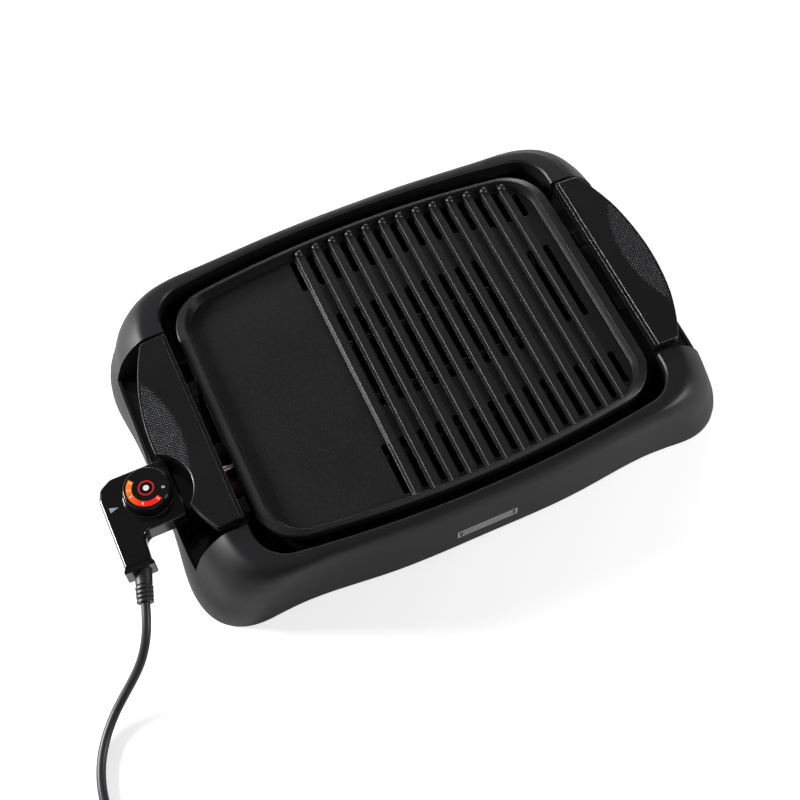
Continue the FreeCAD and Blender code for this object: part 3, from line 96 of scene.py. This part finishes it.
def light_studio():
    """A broad light from the back left, two strips and a weak fill in a dim, pale room."""
    softbox("left_softbox", (-1.5, 0.8, 0.7), (0.0, 0.0, 0.05), 0.5, 0.5, 52)
    softbox("front_softbox", (0.5, -1.5, 1.5), (0.0, 0.0, 0.0), 1.2, 0.5, 3.0)
    softbox("back_strip", (0.6, 1.5, 0.55), (0.0, 0.0, 0.05), 1.4, 0.2, 14)
    softbox("right_strip", (1.2, -0.8, 0.7), (0.22, -0.12, 0.03), 0.3, 0.7, 12)
    world = bpy.data.worlds.new("studio")
    world.use_nodes = True
    nodes, links = world.node_tree.nodes, world.node_tree.links
    background = nodes["Background"]
    background.inputs["Color"].default_value = (1.0, 1.0, 1.0, 1.0)
    path = nodes.new("ShaderNodeLightPath")
    level = nodes.new("ShaderNodeMapRange")
    level.inputs["To Min"].default_value = 0.1
    level.inputs["To Max"].default_value = 1.0
    links.new(path.outputs["Is Camera Ray"], level.inputs["Value"])
    links.new(level.outputs["Result"], background.inputs["Strength"])
    bpy.context.scene.world = world
    bpy.context.scene.view_settings.view_transform = "Standard"


def lay_floor():
    """A pale matt sheet under the griddle that glows a little for the camera, so shadows stay soft."""
    half, glow = 6.0, 0.56
    mesh = bpy.data.meshes.new("floor")
    outline = [(-half, -half, 0), (half, -half, 0), (half, half, 0), (-half, half, 0)]
    mesh.from_pydata(outline, [], [(0, 1, 2, 3)])
    floor = bpy.data.objects.new("floor", mesh)
    bpy.context.collection.objects.link(floor)
    paint = Finish("floor_paper", (0.93, 0.93, 0.93), 0.85)
    paint.shader.inputs["Specular IOR Level"].default_value = 0.1
    paint.shader.inputs["Emission Color"].default_value = (1.0, 1.0, 1.0, 1.0)
    seen = add(paint.tree, "LightPath").outputs["Is Camera Ray"]
    paint.feed("Emission Strength", math_node(paint.tree, "MULTIPLY", seen, glow))
    floor.data.materials.append(paint.material)


# ---- shader groups ----------------------------------------------------------
def new_group(name, inputs, outputs):
    """A shader group with named sockets; returns it with its input and output nodes."""
    group = bpy.data.node_groups.new(name, "ShaderNodeTree")
    kinds = {"value": "NodeSocketFloat", "colour": "NodeSocketColor", "normal": "NodeSocketVector"}
    for label, kind, start in inputs:
        socket = group.interface.new_socket(label, in_out="INPUT", socket_type=kinds[kind])
        socket.default_value = start
    for label, kind in outputs:
        group.interface.new_socket(label, in_out="OUTPUT", socket_type=kinds[kind])
    return group, group.nodes.new("NodeGroupInput"), group.nodes.new("NodeGroupOutput")


def add(tree, kind, settings=None, **inputs):
    """A node with its settings, and with values or links for its inputs."""
    node = tree.nodes.new("ShaderNode" + kind)
    for name, value in (settings or {}).items():
        setattr(node, name, value)
    for name, value in inputs.items():
        key = int(name[1:]) if name[0] == "_" else name.replace("_", " ")
        if isinstance(value, bpy.types.NodeSocket):
            tree.links.new(value, node.inputs[key])
        else:
            node.inputs[key].default_value = value
    return node


def math_node(tree, operation, first, second=0.0, clamp=False):
    node = add(tree, "Math", {"operation": operation, "use_clamp": clamp}, _0=first, _1=second)
    return node.outputs[0]


def make_grain():
    """Fine texture of a moulded surface: Height for a bump, Tone for small changes of colour."""
    group, given, result = new_group(
        "Moulded Grain", [("Size", "value", 1200.0), ("Patches", "value", 18.0)],
        [("Height", "value"), ("Tone", "value")])
    place = add(group, "TexCoord").outputs["Object"]
    cells = add(group, "TexVoronoi", {"feature": "SMOOTH_F1"}, Vector=place, Scale=given.outputs["Size"])
    noise = add(group, "TexNoise", Vector=place, Scale=given.outputs["Size"], Detail=3.0)
    both = math_node(group, "ADD", cells.outputs["Distance"], noise.outputs["Fac"])
    group.links.new(math_node(group, "MULTIPLY", both, 0.5), result.inputs["Height"])
    wide = add(group, "TexNoise", Vector=place, Scale=given.outputs["Patches"], Detail=4.0,
               Roughness=0.6)
    group.links.new(wide.outputs["Fac"], result.inputs["Tone"])
    return group


def make_edges():
    """Rounded normals at sharp edges, and a mask of where those edges are worn."""
    group, given, result = new_group(
        "Edge Wear", [("Radius", "value", 0.0004), ("Breakup", "value", 260.0)],
        [("Mask", "value"), ("Normal", "normal")])
    bevel = add(group, "Bevel", {"samples": 4}, Radius=given.outputs["Radius"])
    flat = add(group, "NewGeometry").outputs["Normal"]
    dot = add(group, "VectorMath", {"operation": "DOT_PRODUCT"}, _0=bevel.outputs[0], _1=flat)
    turn = math_node(group, "SUBTRACT", 1.0, dot.outputs["Value"])
    place = add(group, "TexCoord").outputs["Object"]
    noise = add(group, "TexNoise", Vector=place, Scale=given.outputs["Breakup"], Detail=4.0)
    strong = math_node(group, "MULTIPLY", turn, 6.0)
    broken = math_node(group, "MULTIPLY", strong, noise.outputs["Fac"], True)
    group.links.new(broken, result.inputs["Mask"])
    group.links.new(bevel.outputs[0], result.inputs["Normal"])
    return group


def make_flecks():
    """Small scattered flecks, as in a non-stick coating."""
    group, given, result = new_group(
        "Coating Flecks", [("Size", "value", 900.0), ("Share", "value", 0.35)],
        [("Mask", "value"), ("Height", "value")])
    place = add(group, "TexCoord").outputs["Object"]
    cells = add(group, "TexVoronoi", {"feature": "F1"}, Vector=place, Scale=given.outputs["Size"])
    pick = add(group, "SeparateColor", Color=cells.outputs["Color"]).outputs[0]
    chosen = math_node(group, "LESS_THAN", pick, given.outputs["Share"])
    near = math_node(group, "LESS_THAN", cells.outputs["Distance"], 0.38)
    group.links.new(math_node(group, "MULTIPLY", chosen, near), result.inputs["Mask"])
    noise = add(group, "TexNoise", Vector=place, Scale=given.outputs["Size"], Detail=5.0, Roughness=0.65)
    group.links.new(noise.outputs["Fac"], result.inputs["Height"])
    return group


def make_brushing():
    """Fine parallel lines along X, Y or Z, chosen by the stretch values."""
    group, given, result = new_group(
        "Brushed Lines",
        [("Along X", "value", 20.0), ("Along Y", "value", 900.0), ("Along Z", "value", 900.0)],
        [("Height", "value"), ("Tone", "value")])
    place = add(group, "TexCoord").outputs["Object"]
    scale = add(group, "CombineXYZ", _0=given.outputs["Along X"], _1=given.outputs["Along Y"],
                _2=given.outputs["Along Z"])
    stretched = add(group, "VectorMath", {"operation": "MULTIPLY"}, _0=place, _1=scale.outputs[0])
    lines = add(group, "TexNoise", Vector=stretched.outputs[0], Scale=1.0, Detail=4.0)
    group.links.new(lines.outputs["Fac"], result.inputs["Height"])
    wide = add(group, "TexNoise", Vector=place, Scale=30.0, Detail=3.0)
    group.links.new(wide.outputs["Fac"], result.inputs["Tone"])
    return group


def make_dust():
    """Light dust that lies on surfaces that face up."""
    group, given, result = new_group("Settled Dust", [("Size", "value", 1500.0)], [("Mask", "value")])
    normal = add(group, "NewGeometry").outputs["Normal"]
    upward = add(group, "SeparateXYZ", Vector=normal).outputs[2]
    place = add(group, "TexCoord").outputs["Object"]
    specks = add(group, "TexNoise", Vector=place, Scale=given.outputs["Size"], Detail=2.0)
    patches = add(group, "TexNoise", Vector=place, Scale=25.0, Detail=3.0)
    sharp = add(group, "MapRange", Value=specks.outputs["Fac"], From_Min=0.62, From_Max=0.8)
    mask = math_node(group, "MULTIPLY", sharp.outputs[0], patches.outputs["Fac"])
    group.links.new(math_node(group, "MULTIPLY", mask, upward, True), result.inputs["Mask"])
    return group


GRAIN = make_grain()
EDGES = make_edges()
FLECKS = make_flecks()
BRUSHING = make_brushing()
DUST = make_dust()


# ---- materials --------------------------------------------------------------
class Finish:
    """A material being built: its shader and short ways to add the shared effects."""

    def __init__(self, name, colour, roughness, metallic=0.0):
        self.material = bpy.data.materials.new(name)
        self.material.use_nodes = True
        self.tree = self.material.node_tree
        self.shader = self.tree.nodes["Principled BSDF"]
        self.shader.inputs["Base Color"].default_value = (*colour, 1.0)
        self.shader.inputs["Roughness"].default_value = roughness
        self.shader.inputs["Metallic"].default_value = metallic
        self.normal = None

    def group(self, group, **values):
        node = add(self.tree, "Group", {"node_tree": group})
        for name, value in values.items():
            node.inputs[name.replace("_", " ")].default_value = value
        return node

    def value(self, source, low, high):
        """A value over the surface that runs between low and high."""
        return add(self.tree, "MapRange", Value=source, To_Min=low, To_Max=high).outputs[0]

    def blend(self, mask, first, second):
        """Two colours mixed by a mask; either may be a link."""
        mix = self.tree.nodes.new("ShaderNodeMix")
        mix.data_type = "RGBA"
        self.tree.links.new(mask, mix.inputs["Factor"])
        for socket, colour in ((mix.inputs[6], first), (mix.inputs[7], second)):
            if isinstance(colour, bpy.types.NodeSocket):
                self.tree.links.new(colour, socket)
            else:
                socket.default_value = (*colour, 1.0)
        return mix.outputs[2]

    def feed(self, socket, source):
        self.tree.links.new(source, self.shader.inputs[socket])

    def bump(self, height, strength, depth):
        bump = add(self.tree, "Bump", Height=height, Strength=strength, Distance=depth)
        if self.normal is not None:
            self.tree.links.new(self.normal, bump.inputs["Normal"])
        self.normal = bump.outputs["Normal"]
        self.feed("Normal", self.normal)

    def edges(self, radius):
        """Rounds sharp edges in the shading and returns the mask of worn edges."""
        node = self.group(EDGES, Radius=radius)
        self.normal = node.outputs["Normal"]
        self.feed("Normal", self.normal)
        return node.outputs["Mask"]


def scaled(colour, factor):
    """A darker or paler version of a colour."""
    return tuple(channel * factor for channel in colour)


def moulded_plastic(name, colour, worn, roughness, rough_spread, grain_size, grain_depth, edge=0.0004):
    """Black moulded plastic: fine grain, uneven sheen, paler worn edges and a little dust."""
    finish = Finish(name, colour, roughness)
    wear = finish.edges(edge)
    grain = finish.group(GRAIN, Size=grain_size)
    dust = finish.group(DUST)
    tone = finish.blend(grain.outputs["Tone"], scaled(colour, 0.85), scaled(colour, 1.15))
    edged = finish.blend(wear, tone, worn)
    dusted = finish.blend(finish.value(dust.outputs["Mask"], 0.0, 0.12), edged, (0.25, 0.25, 0.25))
    finish.feed("Base Color", dusted)
    low, high = roughness - rough_spread, roughness + rough_spread
    finish.feed("Roughness", finish.value(grain.outputs["Tone"], low, high))
    finish.bump(grain.outputs["Height"], 0.6, grain_depth)
    return finish


def base_plastic():
    finish = moulded_plastic("base_plastic", (0.0085, 0.008, 0.0095), (0.03, 0.03, 0.032),
                             0.44, 0.05, 1500.0, 0.00003)
    finish.shader.inputs["Specular IOR Level"].default_value = 0.36
    return finish.material


def gloss_plastic():
    finish = moulded_plastic("gloss_plastic", (0.004, 0.004, 0.0045), (0.02, 0.02, 0.02),
                             0.16, 0.05, 500.0, 0.000004, edge=0.0005)
    finish.shader.inputs["Coat Weight"].default_value = 0.3
    finish.shader.inputs["Coat Roughness"].default_value = 0.08
    return finish.material


def handle_plastic():
    return moulded_plastic("handle_plastic", (0.006, 0.0058, 0.0066), (0.22, 0.22, 0.23),
                           0.27, 0.05, 1800.0, 0.000012, edge=0.0006).material


def grip_plastic():
    return moulded_plastic("grip_plastic", (0.034, 0.035, 0.039), (0.07, 0.07, 0.075),
                           0.28, 0.05, 2500.0, 0.00001).material


def cast_coating():
    """Dark non-stick coating with fine flecks over cast metal."""
    finish = Finish("cast_coating", (0.016, 0.016, 0.0165), 0.44)
    wear = finish.edges(0.0005)
    flecks = finish.group(FLECKS, Size=1300.0, Share=0.3)
    grain = finish.group(GRAIN, Size=700.0, Patches=14.0)
    tone = finish.blend(grain.outputs["Tone"], (0.0075, 0.0074, 0.0079), (0.0115, 0.0113, 0.0119))
    flecked = finish.blend(flecks.outputs["Mask"], tone, (0.028, 0.028, 0.03))
    finish.feed("Base Color", finish.blend(wear, flecked, (0.075, 0.075, 0.078)))
    finish.shader.inputs["Specular IOR Level"].default_value = 0.42
    finish.feed("Roughness", finish.value(grain.outputs["Tone"], 0.3, 0.42))
    finish.bump(flecks.outputs["Height"], 0.7, 0.00005)
    return finish.material


def metal(name, dark, light, low, high, lines=(900.0, 20.0, 900.0), edge=0.0003):
    """Metal with fine drawn lines and uneven tone."""
    finish = Finish(name, light, (low + high) / 2, 1.0)
    wear = finish.edges(edge)
    brushing = finish.group(BRUSHING, Along_X=lines[0], Along_Y=lines[1], Along_Z=lines[2])
    tone = finish.blend(brushing.outputs["Tone"], dark, light)
    finish.feed("Base Color", finish.blend(wear, tone, tuple(min(1.0, c * 1.3) for c in light)))
    finish.feed("Roughness", finish.value(brushing.outputs["Height"], low, high))
    finish.bump(brushing.outputs["Height"], 0.35, 0.00002)
    return finish.material


def element_sheath():
    """Heated steel tube with a brown and blue oxide."""
    finish = Finish("element_sheath", (0.06, 0.05, 0.045), 0.5, 0.8)
    grain = finish.group(GRAIN, Size=600.0, Patches=40.0)
    brown, blue = (0.03, 0.018, 0.013), (0.010, 0.011, 0.014)
    finish.feed("Base Color", finish.blend(grain.outputs["Tone"], brown, blue))
    finish.feed("Roughness", finish.value(grain.outputs["Tone"], 0.4, 0.65))
    finish.bump(grain.outputs["Height"], 0.5, 0.00003)
    return finish.material


def ceramic():
    """Red-brown fired ceramic with a dry surface."""
    finish = Finish("ceramic", (0.20, 0.075, 0.05), 0.62)
    wear = finish.edges(0.0004)
    grain = finish.group(GRAIN, Size=1100.0, Patches=90.0)
    tone = finish.blend(grain.outputs["Tone"], (0.045, 0.012, 0.009), (0.085, 0.025, 0.018))
    finish.feed("Base Color", finish.blend(wear, tone, (0.28, 0.14, 0.11)))
    finish.feed("Roughness", finish.value(grain.outputs["Tone"], 0.5, 0.75))
    finish.bump(grain.outputs["Height"], 0.6, 0.00003)
    return finish.material


def soft_rubber(name, colour, roughness):
    """Rubber or flexible vinyl with a fine dull grain."""
    finish = Finish(name, colour, roughness)
    wear = finish.edges(0.0003)
    grain = finish.group(GRAIN, Size=1400.0, Patches=60.0)
    tone = finish.blend(grain.outputs["Tone"], scaled(colour, 0.75), scaled(colour, 1.3))
    finish.feed("Base Color", finish.blend(wear, tone, scaled(colour, 2.2)))
    finish.feed("Roughness", finish.value(grain.outputs["Tone"], roughness - 0.08, roughness + 0.08))
    finish.bump(grain.outputs["Height"], 0.6, 0.00002)
    return finish.material


def printed_ink(name, colour):
    """Opaque print, slightly uneven."""
    finish = Finish(name, colour, 0.35)
    grain = finish.group(GRAIN, Size=1500.0, Patches=300.0)
    finish.feed("Base Color", finish.blend(grain.outputs["Tone"], scaled(colour, 0.88), colour))
    finish.feed("Roughness", finish.value(grain.outputs["Tone"], 0.28, 0.42))
    finish.bump(grain.outputs["Height"], 0.2, 0.00001)
    return finish.material


def heat_scale():
    """Print that runs from orange to red round the dial, by the angle about its centre."""
    finish = Finish("heat_scale", (1.0, 0.3, 0.0), 0.35)
    place = add(finish.tree, "TexCoord").outputs["Object"]
    centred = add(finish.tree, "VectorMath", {"operation": "SUBTRACT"}, _0=place, _1=tuple(dial_centre))
    axes = add(finish.tree, "SeparateXYZ", Vector=centred.outputs[0])
    back = math_node(finish.tree, "MULTIPLY", axes.outputs[0], -1.0)
    down = math_node(finish.tree, "MULTIPLY", axes.outputs[1], -1.0)
    angle = math_node(finish.tree, "ARCTAN2", down, back)
    orange_end, red_end = math.radians(-50), math.radians(60)
    share = add(finish.tree, "MapRange", Value=angle, From_Min=orange_end, From_Max=red_end)
    ramp = add(finish.tree, "ValToRGB", Fac=share.outputs[0])
    ramp.color_ramp.elements[0].color = (1.0, 0.28, 0.01, 1.0)
    ramp.color_ramp.elements[1].color = (0.86, 0.012, 0.006, 1.0)
    grain = finish.group(GRAIN, Size=1500.0, Patches=300.0)
    uneven = finish.value(grain.outputs["Tone"], 0.0, 0.2)
    finish.feed("Base Color", finish.blend(uneven, ramp.outputs["Color"], (0.5, 0.05, 0.01)))
    finish.feed("Roughness", finish.value(grain.outputs["Tone"], 0.28, 0.42))
    return finish.material


def badge_plate():
    """Blank badge: a bright frame and a few bright lines on black enamel."""
    frame_width, end_margin, side_margin = 0.0009, 0.004, 0.0022
    line_pitch, line_half_width = 0.00125, 0.0004
    low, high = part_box("front_badge")
    middle = (low + high) / 2
    finish = Finish("badge_metal", (0.5, 0.5, 0.52), 0.3, 1.0)
    place = add(finish.tree, "TexCoord").outputs["Object"]
    centred = add(finish.tree, "VectorMath", {"operation": "SUBTRACT"}, _0=place, _1=tuple(middle))
    axes = add(finish.tree, "SeparateXYZ", Vector=centred.outputs[0])
    across = math_node(finish.tree, "ABSOLUTE", axes.outputs[0])
    upward = math_node(finish.tree, "ABSOLUTE", axes.outputs[2])
    half_length = (high.x - low.x) / 2
    half_height = (high.z - low.z) / 2
    at_end = math_node(finish.tree, "GREATER_THAN", across, half_length - frame_width)
    at_side = math_node(finish.tree, "GREATER_THAN", upward, half_height - frame_width)
    border = math_node(finish.tree, "MAXIMUM", at_end, at_side)
    row = math_node(finish.tree, "PINGPONG", upward, line_pitch)
    on_row = math_node(finish.tree, "LESS_THAN", row, line_half_width)
    within = math_node(finish.tree, "LESS_THAN", across, half_length - end_margin)
    inside = math_node(finish.tree, "LESS_THAN", upward, half_height - side_margin)
    short_rows = math_node(finish.tree, "MULTIPLY", on_row, within)
    lines = math_node(finish.tree, "MULTIPLY", short_rows, inside)
    bright = math_node(finish.tree, "MAXIMUM", border, lines)
    brushing = finish.group(BRUSHING, Along_X=20.0, Along_Y=900.0, Along_Z=900.0)
    silver = finish.blend(brushing.outputs["Tone"], (0.8, 0.8, 0.81), (0.95, 0.95, 0.96))
    finish.feed("Base Color", finish.blend(bright, (0.01, 0.01, 0.011), silver))
    finish.feed("Roughness", finish.value(brushing.outputs["Height"], 0.22, 0.4))
    finish.feed("Metallic", finish.value(bright, 0.0, 0.3))
    finish.bump(bright, 0.5, 0.0001)
    return finish.material


# ---- finishes of the CAD pieces ---------------------------------------------
def round_shading(mesh, limit=math.radians(24)):
    """Smooth normals across the seams of a node's bands, with corners sharper than the limit kept."""
    per_metre = 1e5
    places = {}
    for face in mesh.polygons:
        for loop in face.loop_indices:
            place = mesh.vertices[mesh.loops[loop].vertex_index].co
            key = tuple(round(number * per_metre) for number in place)
            places.setdefault(key, []).append((loop, face.normal, face.area))
    normals = [Vector((0, 0, 1))] * len(mesh.loops)
    closeness = math.cos(limit)
    for faces in places.values():
        for loop, own, _ in faces:
            total = Vector((0, 0, 0))
            for _, other, area in faces:
                if own.dot(other) > closeness:
                    total += other * (area + 1e-9)
            normals[loop] = total.normalized()
    mesh.normals_split_custom_set(normals)


def finish_frame():
    """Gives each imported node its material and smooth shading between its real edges."""
    sharp_angle = math.radians(28)
    steel = metal("steel", (0.42, 0.42, 0.43), (0.6, 0.6, 0.61), 0.25, 0.42)
    brass = metal("brass", (0.45, 0.3, 0.12), (0.72, 0.52, 0.24), 0.22, 0.4)
    contact = metal("contact_metal", (0.62, 0.47, 0.36), (0.85, 0.74, 0.62), 0.2, 0.35,
                    lines=(20.0, 900.0, 900.0))
    # Tray metal made near black: painted shade, so the space seen through the slots under the plate
    # looks as dark as its shade.
    tray = metal("tray_metal", (0.02, 0.02, 0.021), (0.035, 0.034, 0.034), 0.4, 0.6,
                 lines=(20.0, 700.0, 700.0))
    # Steel made near black: painted shade, so the straps and brackets in the gaps under and beside the
    # plate look as dark as their shade.
    shade_dark_steel = metal("painted_shade_steel", (0.012, 0.012, 0.013), (0.028, 0.028, 0.03), 0.4, 0.6)
    gloss = gloss_plastic()
    handle = handle_plastic()
    rubber = soft_rubber("rubber", (0.012, 0.012, 0.013), 0.7)
    jacket = soft_rubber("cord_jacket", (0.022, 0.022, 0.026), 0.42)
    finishes = {
        "base_housing": base_plastic(), "base_tub": gloss, "base_screws": steel, "rubber_feet": rubber,
        "front_badge": badge_plate(), "drip_tray": tray, "cooking_plate": cast_coating(),
        "heating_element": element_sheath(), "element_straps": shade_dark_steel, "strap_screws": steel,
        "terminal_bracket": shade_dark_steel, "terminal_insulators": ceramic(), "terminal_pins": contact,
        "bracket_washers": brass, "bracket_screws": brass, "handle_screws": steel,
        "control_upper": gloss, "control_lower": gloss, "thermostat": steel, "sensing_rod": contact,
        "contact_sleeves": contact, "housing_screws": steel,
        "pointer_mark": printed_ink("pointer_mark", (0.32, 0.38, 0.46)),
        "dial_skirt": gloss, "dial_cap": gloss, "dial_shaft": steel, "strain_relief": jacket,
        "coil_tie": rubber, "plug_body": jacket, "plug_pins": contact,
    }
    for side in ("left", "right"):
        finishes[side + "_handle_top"] = handle
        finishes[side + "_handle_underside"] = handle
        finishes[side + "_handle_brackets"] = shade_dark_steel
    for name, material in finishes.items():
        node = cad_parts[name]
        node.data.materials.clear()
        node.data.materials.append(material)
        node.data.set_sharp_from_angle(angle=sharp_angle)
    round_shading(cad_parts["base_housing"].data)
    return finishes


# ---- pieces -----------------------------------------------------------------
def add_mesh(name, builder, body, material):
    """A mesh object from a bmesh, riding on a body."""
    mesh = bpy.data.meshes.new(name)
    builder.to_mesh(mesh)
    builder.free()
    piece = bpy.data.objects.new(name, mesh)
    bpy.context.collection.objects.link(piece)
    mesh.materials.append(material)
    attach(piece, body)
    return piece


def add_ring_sector(builder, centre, inner, outer, start, end, z, thickness, steps):
    """A flat raised band round a centre between two angles."""
    rows = []
    for k in range(steps + 1):
        angle = math.radians(start + (end - start) * k / steps)
        way = Vector((math.cos(angle), math.sin(angle), 0))
        near, far = centre + way * inner, centre + way * outer
        rows.append([builder.verts.new((p.x, p.y, h)) for p, h in
                     ((near, z), (near, z + thickness), (far, z + thickness), (far, z))])
    for before, after in zip(rows, rows[1:]):
        for j in range(4):
            builder.faces.new((before[j], after[j], after[(j + 1) % 4], before[(j + 1) % 4]))
    if abs(end - start) < 360:
        builder.faces.new(rows[0])
        builder.faces.new(rows[-1][::-1])
    bmesh.ops.remove_doubles(builder, verts=builder.verts, dist=1e-7)
    bmesh.ops.recalc_face_normals(builder, faces=builder.faces)


def print_dial():
    """The dial's printed scale: heat band, numbers, and a plain ring with a dot in the middle."""
    ink = 0.06 * MM
    z = dial_top - 0.01 * MM
    band_inner, band_outer = 11.6 * MM, 16.2 * MM
    white = printed_ink("white_ink", (0.86, 0.86, 0.84))
    band = bmesh.new()
    add_ring_sector(band, dial_centre, band_inner, band_outer, 131, 303, z, ink, 60)
    add_mesh("dial_heat_band", band, "dial", heat_scale())
    ring = bmesh.new()
    add_ring_sector(ring, dial_centre, 5.5 * MM, 6.5 * MM, 0, 360, z, ink, 48)
    add_mesh("dial_centre_ring", ring, "dial", printed_ink("red_ink", (0.75, 0.02, 0.015)))
    dot = bmesh.new()
    add_ring_sector(dot, dial_centre, 0.4 * MM, 2.4 * MM, 0, 360, z, ink, 32)
    add_mesh("dial_centre_dot", dot, "dial", white)
    for number, angle in (("1", 139), ("2", 165), ("3", 189), ("4", 240), ("5", 295), ("0", 339)):
        data = bpy.data.curves.new("number", "FONT")
        data.body = number
        data.size = 4.0 * MM
        data.align_x = "CENTER"
        data.align_y = "CENTER"
        data.extrude = ink / 2
        source = bpy.data.objects.new("number", data)
        bpy.context.collection.objects.link(source)
        turn = math.radians(angle)
        way = Vector((math.cos(turn), math.sin(turn), 0))
        place = dial_centre + way * (band_inner + band_outer) / 2
        source.matrix_world = Matrix.Translation((place.x, place.y, z + ink)) @ Matrix.Rotation(
            turn + math.pi / 2, 4, "Z")
        bpy.context.view_layer.update()
        mesh = bpy.data.meshes.new_from_object(source)
        mesh.transform(source.matrix_world)
        mesh.name = "dial_number_" + number
        bpy.data.objects.remove(source)
        piece = bpy.data.objects.new("dial_number_" + number, mesh)
        bpy.context.collection.objects.link(piece)
        mesh.materials.clear()
        mesh.materials.append(white)
        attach(piece, "dial")


def surface_of(node):
    """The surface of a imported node, for finding heights on it."""
    places = [vertex.co for vertex in node.data.vertices]
    return BVHTree.FromPolygons(places, [face.vertices for face in node.data.polygons])


def add_bead(builder, place, normal, radius, height, sides=8):
    """A small round bead standing on a surface, its foot sunk into it."""
    turn = normal.to_track_quat("Z", "Y")
    rings = []
    profile = ((1.0, -0.1), (0.86, 0.45), (0.5, 0.85))
    for share, rise in profile:
        ring = []
        for k in range(sides):
            angle = 2 * math.pi * k / sides
            reach = radius * share
            local = Vector((reach * math.cos(angle), reach * math.sin(angle), height * rise))
            ring.append(builder.verts.new(place + turn @ local))
        rings.append(ring)
    top = builder.verts.new(place + turn @ Vector((0, 0, height)))
    for low, high in zip(rings, rings[1:]):
        for k in range(sides):
            builder.faces.new((low[k], low[(k + 1) % sides], high[(k + 1) % sides], high[k]))
    for k in range(sides):
        builder.faces.new((rings[-1][k], rings[-1][(k + 1) % sides], top))
    builder.faces.new(rings[0][::-1])


def grip_beads(word, side, material):
    """Rows of small beads over the hollowed part of a handle, smaller towards its edge."""
    pitch, bead_radius, bead_height = 1.45 * MM, 0.82 * MM, 0.42 * MM
    inner_margin, outer_margin = 0.8 * MM, 2.2 * MM
    low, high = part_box(word + "_handle_top")
    tree = surface_of(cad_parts[word + "_handle_top"])
    half_length = (high.y - low.y) / 2
    outer = abs((high.x if side > 0 else low.x) - base_middle)
    grip_half = 60 * MM
    edge_fall = 23.2 * MM
    depth = 27 * MM
    above, down = 200 * MM, Vector((0, 0, -1))
    sag = depth - edge_fall * (grip_half / half_length) ** 2
    circle = (grip_half ** 2 + sag ** 2) / (2 * sag)
    centre = outer - depth + circle
    builder = bmesh.new()
    rows = int(depth / pitch) + 2
    columns = int(grip_half / pitch) + 2
    for i in range(rows):
        for j in range(-columns, columns + 1):
            if (i + j) % 2:
                continue
            x, y = outer - i * pitch, j * pitch
            inside = circle - math.hypot(centre - x, y)
            from_rim = outer - edge_fall * (y / half_length) ** 2 - x
            if inside < inner_margin or from_rim < outer_margin:
                continue
            hit, normal, _, _ = tree.ray_cast(Vector((base_middle + side * x, y, above)), down)
            if hit is None or normal.z < 0.9 or hit.z < low.z + 2 * MM:
                continue
            share = min(1.0, 0.45 + inside / (5 * MM))
            add_bead(builder, hit, normal, bead_radius * share, bead_height * share)
    piece = add_mesh(word + "_grip_beads", builder, "plate", material)
    piece.data.shade_smooth()
    return piece


def lead_points():
    """The lead's route from the strain relief to the plug, with the coil's turns worked out."""
    route = [from_base(*point) for point in (
        (-0.2795, -0.1140, 0.0576), (-0.2840, -0.1285, 0.0546), (-0.2908, -0.1410, 0.0474),
        (-0.2995, -0.1500, 0.0369), (-0.3102, -0.1565, 0.0260), (-0.3225, -0.1630, 0.0162),
        (-0.3355, -0.1720, 0.0086), (-0.3480, -0.1855, 0.0045), (-0.3580, -0.2030, 0.0039),
        (-0.3640, -0.2240, 0.0039), (-0.3650, -0.2470, 0.0039), (-0.3610, -0.2690, 0.0039),
        (-0.3525, -0.2885, 0.0040), (-0.3415, -0.3040, 0.0043), (-0.3315, -0.3160, 0.0047),
        (-0.3250, -0.3300, 0.0050))]
    tail = [from_base(*point) for point in (
        (-0.2760, -0.3752, 0.0122), (-0.2560, -0.3745, 0.0105), (-0.2360, -0.3715, 0.0082),
        (-0.2170, -0.3665, 0.0076))]
    low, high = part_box("cord_coil")
    middle = (low + high) / 2
    outer = (high.x - low.x) / 2 - lead_diameter / 2
    inner = outer - lead_diameter - 0.2 * MM
    under = low.z + lead_diameter / 2
    over = high.z - lead_diameter / 2
    start, end_turn, step, shift = 180, 1350, 20, 30
    tighten = math.cos(math.radians(step / 2))
    lanes = [(480, outer, under), (810, inner, under), (1140, inner, over), (end_turn, outer, over)]
    turns = []
    for angle in range(start + step, end_turn, step):
        radius, level = lanes[-1][1:]
        for (end, r0, z0), (_, r1, z1) in zip(lanes, lanes[1:]):
            if angle <= end:
                radius, level = r0, z0
                break
            if angle < end + shift:
                share = (angle - end) / shift
                radius, level = r0 + (r1 - r0) * share, z0 + (z1 - z0) * share
                break
        turn = math.radians(angle)
        turns.append(Vector((middle.x + math.cos(turn) * radius / tighten,
                             middle.y + math.sin(turn) * radius / tighten, level)))
    return route + turns + tail


def lay_lead(jacket):
    """The mains lead as one smooth curve, coiled for storage."""
    points = lead_points()
    data = bpy.data.curves.new("mains_lead", "CURVE")
    data.dimensions = "3D"
    data.resolution_u = 8
    data.bevel_depth = lead_diameter / 2
    data.bevel_resolution = 5
    data.use_fill_caps = True
    spline = data.splines.new("NURBS")
    spline.points.add(len(points) - 1)
    for target, point in zip(spline.points, points):
        target.co = (*point, 1.0)
    spline.order_u = 3
    spline.use_endpoint_u = True
    lead = bpy.data.objects.new("mains_lead", data)
    bpy.context.collection.objects.link(lead)
    data.materials.append(jacket)
    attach(lead, "control")
    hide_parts("cord", "cord_tail", "cord_coil")


place_camera()
light_studio()
lay_floor()
materials = finish_frame()
lay_lead(materials["plug_body"])
print_dial()
grip = grip_plastic()
for word, side in (("right", 1), ("left", -1)):
    grip_beads(word, side, grip)
